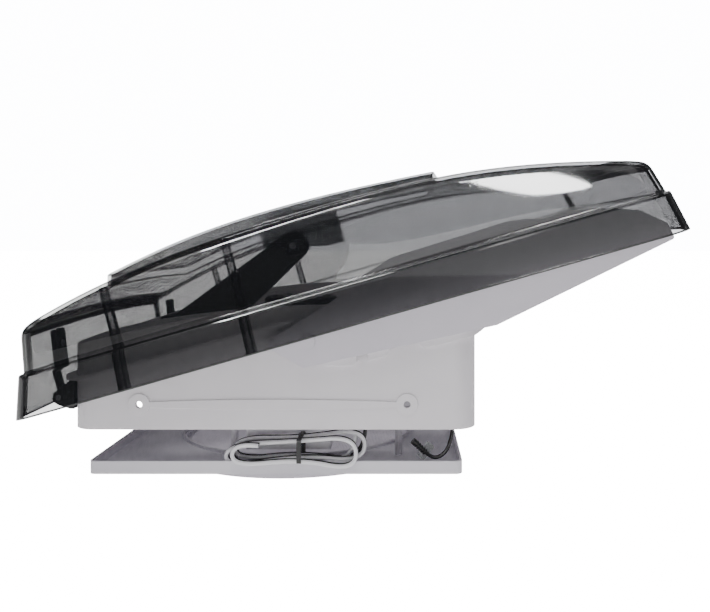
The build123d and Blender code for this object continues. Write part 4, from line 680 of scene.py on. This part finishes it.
    def dome_plan(self, height: Array) -> Array:
        """The drafted dome's outline at a height for each point round it.

        A straight line from the plan at the dome's foot through the plan draft_rise above it.

        Args:
            height: each point's height over the rim.
        Returns:
            Points of u and v.
        """
        foot = self.skirt_height
        low0 = self.skirt_flares[0] + self.ledges[0]
        high0 = self.length - self.skirt_flares[1] - self.ledges[1]
        half0 = self.width / 2 - self.skirt_flares[2] - self.ledges[2]
        tans = [math.tan(math.radians(d)) * self.draft_rise for d in self.drafts]
        below = self.plan(low0, high0, half0, self.dome_corner)
        above = self.plan(low0 + tans[0], high0 - tans[1], half0 - tans[2], self.dome_corner)
        share = ((height - foot) / self.draft_rise)[:, None]
        plan = below * (1 - share) + above * share
        plan[:, 1] -= np.sign(plan[:, 1]) * self.crease_inset(plan, height)
        return plan

    def crease_inset(self, plan: Array, height: Array) -> Array:
        """How far the side wall stands out below its crease and leans in above it.

        A soft ramp ln(1 + e^x) from the crease up, less the same share of the wall's own height,
        so that the wall's foot and its top edge keep their places. It fades from the side wall
        to three quarters of the half width.

        Args:
            plan: points round the dome.
            height: their heights over the rim.
        Returns:
            Distances towards the middle.
        """
        share, level = np.array(self.crease_points).T
        crease = np.interp(plan[:, 0] / self.length, share, level)
        lean = math.tan(math.radians(self.crease_lean))
        top = self.top(plan[:, 0], plan[:, 1])

        def ramp(h: Array) -> Array:
            """The soft ramp at heights."""
            return self.crease_soft * np.log1p(np.exp((h - crease) / self.crease_soft))

        rise = (height - self.skirt_height) / np.maximum(top - self.skirt_height, 1.0)
        side = np.clip(np.abs(plan[:, 1]) / (self.width / 2) * 4 - 3, 0, 1)
        return lean * side * (ramp(height) - ramp(top) * rise)

    def rings(self) -> list[Array]:
        """The outer surface as rings from the rim to the spine of the strip.

        Corners are rounded by a quadratic curve between a point on each side of the corner. From
        the rim they are the skirt, its top corner, the ledge's corner, the dome's side, its top
        edge, the dome's top, the strip's foot, the strip's edge and its top.

        Returns:
            Rings of u, v and height.
        """
        def lift(plan: Array, height: float | Array) -> Array:
            """Points of u and v raised to their heights."""
            return np.column_stack([plan, np.broadcast_to(height, len(plan))])

        def rounded(before: Array, corner: Array, after: Array, count: int) -> list[Array]:
            """Rings along a quadratic curve that a corner draws to itself."""
            shares = np.linspace(0, 1, count)
            return [(1 - q)**2 * before + 2 * q * (1 - q) * corner + q**2 * after for q in shares]

        f, g = self.skirt_flares, self.ledges
        half = self.width / 2

        def skirt(share: float) -> Array:
            """The flared skirt at a share of its height."""
            plan = self.plan(f[0] * share, self.length - f[1] * share, half - f[2] * share,
                             self.skirt_corner)
            return lift(plan, self.skirt_height * share)

        def ledge(share: float) -> Array:
            """The flat ledge at a share of its width."""
            plan = self.plan(f[0] + g[0] * share, self.length - f[1] - g[1] * share,
                             half - f[2] - g[2] * share,
                             self.skirt_corner + (self.dome_corner - self.skirt_corner) * share)
            return lift(plan, self.skirt_height)

        rings = [skirt(s) for s in self.skirt_shares]
        rings += rounded(skirt(0.94), skirt(1.0), ledge(0.4), 5)
        foot_height = np.full(len(rings[0]), self.skirt_height)
        height = foot_height + self.ledge_round
        rings += rounded(ledge(0.7), ledge(1.0), lift(self.dome_plan(height), height), 4)
        # The top edge is where the drafted wall meets the top, found by going to and fro.
        edge = foot_height + 50.0
        for _ in range(12):
            plan = self.dome_plan(edge)
            edge = self.top(plan[:, 0], plan[:, 1])
        straight = edge - self.edge - self.edge_gap - self.skirt_height
        for share in np.linspace(0.08, 1.0, self.wall_rows):
            height = self.skirt_height + straight * share
            rings.append(lift(self.dome_plan(height), height))
        self.side_rows = len(rings)
        edge_plan = self.dome_plan(edge)
        low, high = self.strip_shares[0][0] * self.length, self.strip_shares[-1][0] * self.length
        foot = self.plan(low, high, self.strip_half, self.strip_corner)

        def over(share: float | Array) -> Array:
            """The dome's top at a share of the way from its edge to the strip's foot."""
            plan = edge_plan + (foot - edge_plan) * np.reshape(share, (-1, 1))
            return lift(plan, self.top(plan[:, 0], plan[:, 1]))

        reach = np.linalg.norm(foot - edge_plan, axis=1)
        below = lift(self.dome_plan(edge - self.edge), edge - self.edge)
        start = self.edge / reach
        rings += rounded(below, lift(edge_plan, edge), over(start), self.edge_rows)
        # The top's rings stop short of the strip's foot, which is rounded.
        shares = np.linspace(0, 1, self.top_rows + 1)[1:]
        rings += [over(start + (0.985 - start) * share) for share in shares]

        def strip(inset: float, share: float) -> Array:
            """The strip's wall.

            Args:
                inset: how far it leans in from the strip's foot.
                share: its share of the strip's height.
            Returns:
                A ring of u, v and height.
            """
            plan = self.plan(low + inset, high - inset, self.strip_half - inset,
                             self.strip_corner - inset * 0.2)
            under = self.top(plan[:, 0], plan[:, 1])
            over_it = self.curve(self.strip_shares, plan[:, 0])
            return lift(plan, under + (over_it - under) * share)

        rings += rounded(over(0.995), strip(0.0, 0.0), strip(0.2, 0.08), 3)
        below_edge, edge_inset, inset = self.strip_insets
        rings += rounded(strip(below_edge, 0.9), strip(edge_inset, 1.0), strip(inset, 1.0), 5)
        top_plan = self.plan(low + inset, high - inset, self.strip_half - inset,
                             self.strip_top_corner)
        spine = top_plan.copy()
        spine[:, 1] = 0.0
        spine[:, 0] = np.clip(spine[:, 0], low + self.strip_half, high - self.strip_half)
        for share in np.linspace(0, 1, self.strip_rows + 1)[1:]:
            plan = top_plan + (spine - top_plan) * share
            rings.append(lift(plan, self.curve(self.strip_shares, plan[:, 0])))
        return rings

    def placed(self, points: Array) -> Array:
        """Turn points to the open lid's place.

        Args:
            points: an array of u, v and height over the rim.
        Returns:
            Points of x, y, z.
        """
        at = points.copy()
        at[..., 0] += self.low_x
        at[..., 2] += self.rim_z
        return turned_about_y(at, *self.hinge, -self.open_degrees)

    def shell(self) -> bpy.types.Object:
        """Make the shell, with its wall inside its outer surface.

        Returns:
            The shell.
        """
        outer = np.stack(self.rings())
        inner = outer - self.outward(outer) * self.wall
        # The rim is flat: its inner ring stays at the outer ring's height.
        inner[0] = outer[0] - self.outward(outer)[0] * [1, 1, 0] * self.wall
        count, around = outer.shape[:2]
        sheet = ring_faces(count, around)
        rim_here = np.arange(around)
        rim_after = (rim_here + 1) % around
        shift = count * around
        rim = np.stack([rim_after, rim_here, shift + rim_here, shift + rim_after], axis=-1)
        faces = np.concatenate([sheet, sheet[:, ::-1] + shift, rim])
        points = self.placed(np.concatenate([outer, inner]).reshape(-1, 3))
        made = mesh_object("lid_shell_clear", points, faces, SMOKED)
        made.data.materials.append(SMOKED_EDGE_ON_AND_PAINTED_LINES.material())
        made.data.materials.append(SMOKED_BEND.material())
        finish = np.full((count - 1, around), Wall.SHEET, dtype=np.int32)
        side, end, bend = self.side_points, self.end_points, self.corner_points
        for start in np.cumsum([side, bend + end, bend + side, bend + end]):
            finish[:self.side_rows + self.edge_rows, start - 1:start + bend + 1] = Wall.BEND
        finish[self.side_rows:self.side_rows + self.edge_rows] = Wall.BEND
        # Painted dark lines: the near-black sheet on the rows at the rim, the ledge's corner and
        # the dome's and strip's edges stands in for the refraction inside the sheet there.
        finish[list(self.foot_dark)] = Wall.CORNER
        finish[[self.side_rows + row for row in self.top_dark]] = Wall.CORNER
        lip = np.full(around, Wall.CORNER, dtype=np.int32)
        by_face = np.concatenate([finish.ravel(), finish.ravel(), lip])
        made.data.polygons.foreach_set("material_index", by_face)
        weld = made.modifiers.new("spine", "WELD")
        weld.merge_threshold = 0.01 * MM
        return made

    @staticmethod
    def outward(surface: Array) -> Array:
        """Unit normals of a ringed surface, from the cross product of its two differences.

        Args:
            surface: rings of points, from the rim up.
        Returns:
            A normal for each point.
        """
        around = np.roll(surface, -1, axis=1) - np.roll(surface, 1, axis=1)
        along = np.gradient(surface, axis=0)
        normal = np.cross(around, along)
        normal[-1] = [0, 0, 1]
        return normal / np.maximum(np.linalg.norm(normal, axis=-1, keepdims=True), 1e-9)

    def inner_wall_y(self, height: Array) -> Array:
        """The distance from the middle to the inner face of the side wall.

        Args:
            height: heights over the rim.
        Returns:
            The distances.
        """
        skirt = self.width / 2 - self.skirt_flares[2] * height / self.skirt_height
        dome = (self.width / 2 - self.skirt_flares[2] - self.ledges[2]
                - (height - self.skirt_height) * math.tan(math.radians(self.drafts[2])))
        return np.where(height < self.skirt_height - self.wall, skirt, dome) - self.wall * 0.7

    def ribs(self) -> bpy.types.Object:
        """Make the four hollow ribs as channels from the inner wall.

        Each is a grid: heights up the wall by the four corners of a channel's section.

        Returns:
            The ribs.
        """
        points, faces = [], []
        half = self.rib_width / 2
        for share in self.rib_shares:
            u = share * self.length
            top = float(self.top(np.array([u]), np.array([self.rib_inner_y]))[0]) - self.wall
            height = np.linspace(self.rib_foot, top, self.rib_rows)
            wall = self.inner_wall_y(height)
            depth = np.maximum(np.minimum(self.rib_inner_y, wall - 0.5), wall - self.rib_depth)
            for side in (-1, 1):
                corners = [(u - half, wall), (u - half, depth), (u + half, depth), (u + half, wall)]
                section = np.stack([
                    np.column_stack([np.full(self.rib_rows, at), side * reach, height])
                    for at, reach in corners], axis=1)
                quads = grid_faces(self.rib_rows, len(corners))
                if side < 0:
                    quads = quads[:, ::-1]
                faces.append(quads + sum(len(p) for p in points))
                points.append(section.reshape(-1, 3))
        made = mesh_object("lid_ribs_clear", self.placed(np.concatenate(points)),
                           np.concatenate(faces), SMOKED_RIB, smooth=False)
        made.data.materials.append(SMOKED_EDGE_ON_AND_PAINTED_LINES.material())
        section_finish = [Wall.CORNER, Wall.SHEET, Wall.CORNER]
        rows = len(made.data.polygons) // len(section_finish)
        made.data.polygons.foreach_set("material_index",
                                       np.tile(section_finish, rows).astype(np.int32))
        wall = made.modifiers.new("wall", "SOLIDIFY")
        wall.thickness = self.rib_wall * MM
        wall.offset = 0.0
        return made


@dataclass
class Screen:
    """The insect screen: two layers of fine bars in a flat rim.

    The photograph doesn't show the net. Common ones have strands of about 0.3 mm at 1.2 mm, and
    this one has 0.45 mm at 1.6 mm so that they show.
    """

    pitch: float = 1.6
    strand: float = 0.45
    rim: float = 4.0
    rim_height: float = 1.0
    rim_points: int = 120

    def build(self) -> None:
        """Make the net in the place of its solid."""
        low, high = (np.array(end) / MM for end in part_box("insect_screen"))
        middle, radius = (low + high) / 2, (high[0] - low[0]) / 2
        net = self.net(middle[:2], radius, low[2])
        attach(net, Body.FRAME.value)
        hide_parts("insect_screen")
        LOG.info("screen: %d points", len(net.data.vertices))

    def net(self, middle: Array, radius: float, foot: float) -> bpy.types.Object:
        """Make the bars and the rim.

        A bar at a distance d from the middle is as long as the chord 2 sqrt(r^2 - 4 - d^2), so
        that its ends stay inside the rim.

        Args:
            middle: the net's middle, x and y.
            radius: its outer radius.
            foot: its lowest z.
        Returns:
            The net.
        """
        inner = radius - self.rim
        count = int(inner / self.pitch)
        place = np.arange(-count, count + 1) * self.pitch
        reach = np.sqrt(np.maximum(radius ** 2 - 4 - place ** 2, 1.0))
        corners = np.array([(a, b, c) for a in (-1, 1) for b in (-1, 1) for c in (0, 1)])
        along = corners[None, :, 0] * reach[:, None]
        across = place[:, None] + corners[None, :, 1] * self.strand / 2
        up = np.broadcast_to(corners[None, :, 2] * self.strand, along.shape)
        first = np.stack([along, across, up + foot], axis=-1)
        second = np.stack([across, along, up + foot + self.strand * 0.9], axis=-1)
        sides = np.array([[0, 1, 3, 2], [4, 6, 7, 5], [0, 4, 5, 1], [2, 3, 7, 6], [0, 2, 6, 4],
                          [1, 5, 7, 3]])
        starts = np.arange(len(place))[:, None, None] * 8
        bars = (sides[None] + starts).reshape(-1, 4)
        crossing = bars[:, ::-1] + len(place) * 8
        swing = np.linspace(0, 2 * math.pi, self.rim_points, endpoint=False)
        round_it = np.stack([np.cos(swing), np.sin(swing)], axis=-1)
        high = self.rim_height
        section = [(radius, 0.0), (radius, high), (inner, high), (inner, 0.0), (radius, 0.0)]
        rings = np.concatenate([np.column_stack([round_it * r, np.full(self.rim_points, foot + z)])
                                for r, z in section])
        points = np.concatenate([first.reshape(-1, 3), second.reshape(-1, 3), rings])
        points[:, :2] += middle
        rim = ring_faces(len(section), self.rim_points, len(place) * 16)
        faces = np.concatenate([bars, crossing, rim])
        return mesh_object("insect_net", points, faces, NET_FIBRE, smooth=False)


@dataclass
class Leads:
    """The power leads in their tied hank, and the sensor lead.

    left and right are the hank's ends: x, z and the half height of its folds. waist is its
    narrow middle, alike, and tail the place where a lead ends. Each slack moves one loop's fold
    in x and z, because the loops aren't alike.
    """

    frame_nodes: dict[str, bpy.types.Object]
    radius: float = 1.8
    sensor_radius: float = 1.7
    exit_z: float = -3.0
    white_x: float = 71.0
    black_x: float = 79.0
    white_planes: tuple[float, ...] = (-153.1, -161.5, -173.0)
    black_planes: tuple[float, ...] = (-148.9, -157.3, -168.8)
    left: tuple[float, float, float] = (-41.0, -25.6, 10.4)
    right: tuple[float, float, float] = (74.0, -20.5, 15.2)
    waist: tuple[float, float, float] = (22.0, -20.2, 7.2)
    tail: tuple[float, float] = (-14.0, -15.7)
    left_slack: tuple[tuple[float, float], ...] = ((2.0, 1.5), (-4.0, -2.5), (4.0, 2.0))
    right_slack: tuple[tuple[float, float], ...] = ((-3.0, -1.0), (5.0, 2.5), (-2.0, -2.0))
    sensor_route: tuple[tuple[float, float, float], ...] = (
        (160.0, -128.0, -3.0), (160.0, -128.0, -11.0), (158.5, -131.0, -20.0),
        (155.0, -134.5, -29.0), (148.5, -137.0, -35.6), (140.0, -137.6, -36.6),
        (134.5, -138.0, -31.5))

    def build(self) -> None:
        jobs = [
            ("lead_white", self.hank(self.white_x, self.white_planes), self.radius, WHITE_PVC,
             0.693, "bare", ("cable_tie",), "coiled"),
            ("lead_black", self.hank(self.black_x, self.black_planes), self.radius, BLACK_PVC,
             0.701, "bare", (), "coiled"),
            ("sensor_lead", list(self.sensor_route), self.sensor_radius, BLACK_PVC,
             0.053, "connector", ("sensor_relief", "sensor_plug"), "hanging"),
        ]
        for node, route, radius, finish, length, end, pieces, lay in jobs:
            lead = self.curve(node + "_cord", route, radius, finish)
            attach(lead, Body.FRAME.value)
            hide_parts(node)
        LOG.info("leads: %d", len(jobs))

    def hank(self, exit_x: float, planes: tuple[float, ...]) -> list:
        """A lead's route: its exit, then loops that step nearer, and its free end.

        Args:
            exit_x: the x at which it leaves its grommet.
            planes: the y of each loop.
        Returns:
            Control points of x, y, z.
        """
        points = [(exit_x, planes[0], self.exit_z)]
        end_x = exit_x
        for number, y in enumerate(planes):
            left_x, left_z = np.add(self.left[:2], self.left_slack[number])
            points += [
                (end_x, y, self.right[1] - self.right[2] + self.right_slack[number][1]),
                (self.waist[0], y, self.waist[1] - self.waist[2]),
                (left_x, y, left_z - self.left[2]),
                (left_x, y, left_z + self.left[2]),
            ]
            if number + 1 < len(planes):
                nearer = planes[number + 1]
                end_x, right_z = np.add(self.right[:2], self.right_slack[number + 1])
                points.append((self.waist[0], (y + nearer) / 2, self.waist[1] + self.waist[2]))
                points.append((end_x, nearer, right_z + self.right[2]))
        points.append((self.tail[0], planes[-1], self.tail[1]))
        return points

    def curve(self, name: str, route: list, radius: float, finish: Finish) -> bpy.types.Object:
        """Make a round lead on a smooth curve with the route as its control points.

        Args:
            name: the piece's name.
            route: control points of x, y, z.
            radius: the lead's radius.
            finish: its jacket.
        Returns:
            The lead, as a curve.
        """
        data = bpy.data.curves.new(name, "CURVE")
        data.dimensions = "3D"
        data.bevel_depth = radius * MM
        data.bevel_resolution = 5
        data.resolution_u = 12
        data.use_fill_caps = True
        spline = data.splines.new("NURBS")
        spline.points.add(len(route) - 1)
        flat = np.column_stack([np.array(route) * MM, np.ones(len(route))]).ravel()
        spline.points.foreach_set("co", flat)
        spline.order_u = 3
        spline.use_endpoint_u = True
        spline.use_smooth = True
        data.materials.append(finish.material())
        made = bpy.data.objects.new(name, data)
        bpy.context.scene.collection.objects.link(made)
        return made


@dataclass
class SolidFinishes:
    """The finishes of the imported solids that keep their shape."""

    nodes: dict[str, bpy.types.Object]

    def build(self) -> None:
        """Give each node its finish."""
        for name, node in self.nodes.items():
            material = NODE_FINISHES[name].material()
            if not node.data.materials:
                node.data.materials.append(material)
            for slot in node.material_slots:
                slot.material = material
        LOG.info("finishes: %d solids", len(self.nodes))


def main() -> None:
    """Load the frame, build every class in order and note the sizes."""
    logging.basicConfig(level=logging.INFO, format="%(name)s: %(message)s")
    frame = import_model()
    Studio().build()
    Leads(frame_nodes=frame["nodes"]).build()
    Lid().build()
    Screen().build()
    SolidFinishes(frame["nodes"]).build()


if __name__ == "__main__":
    main()
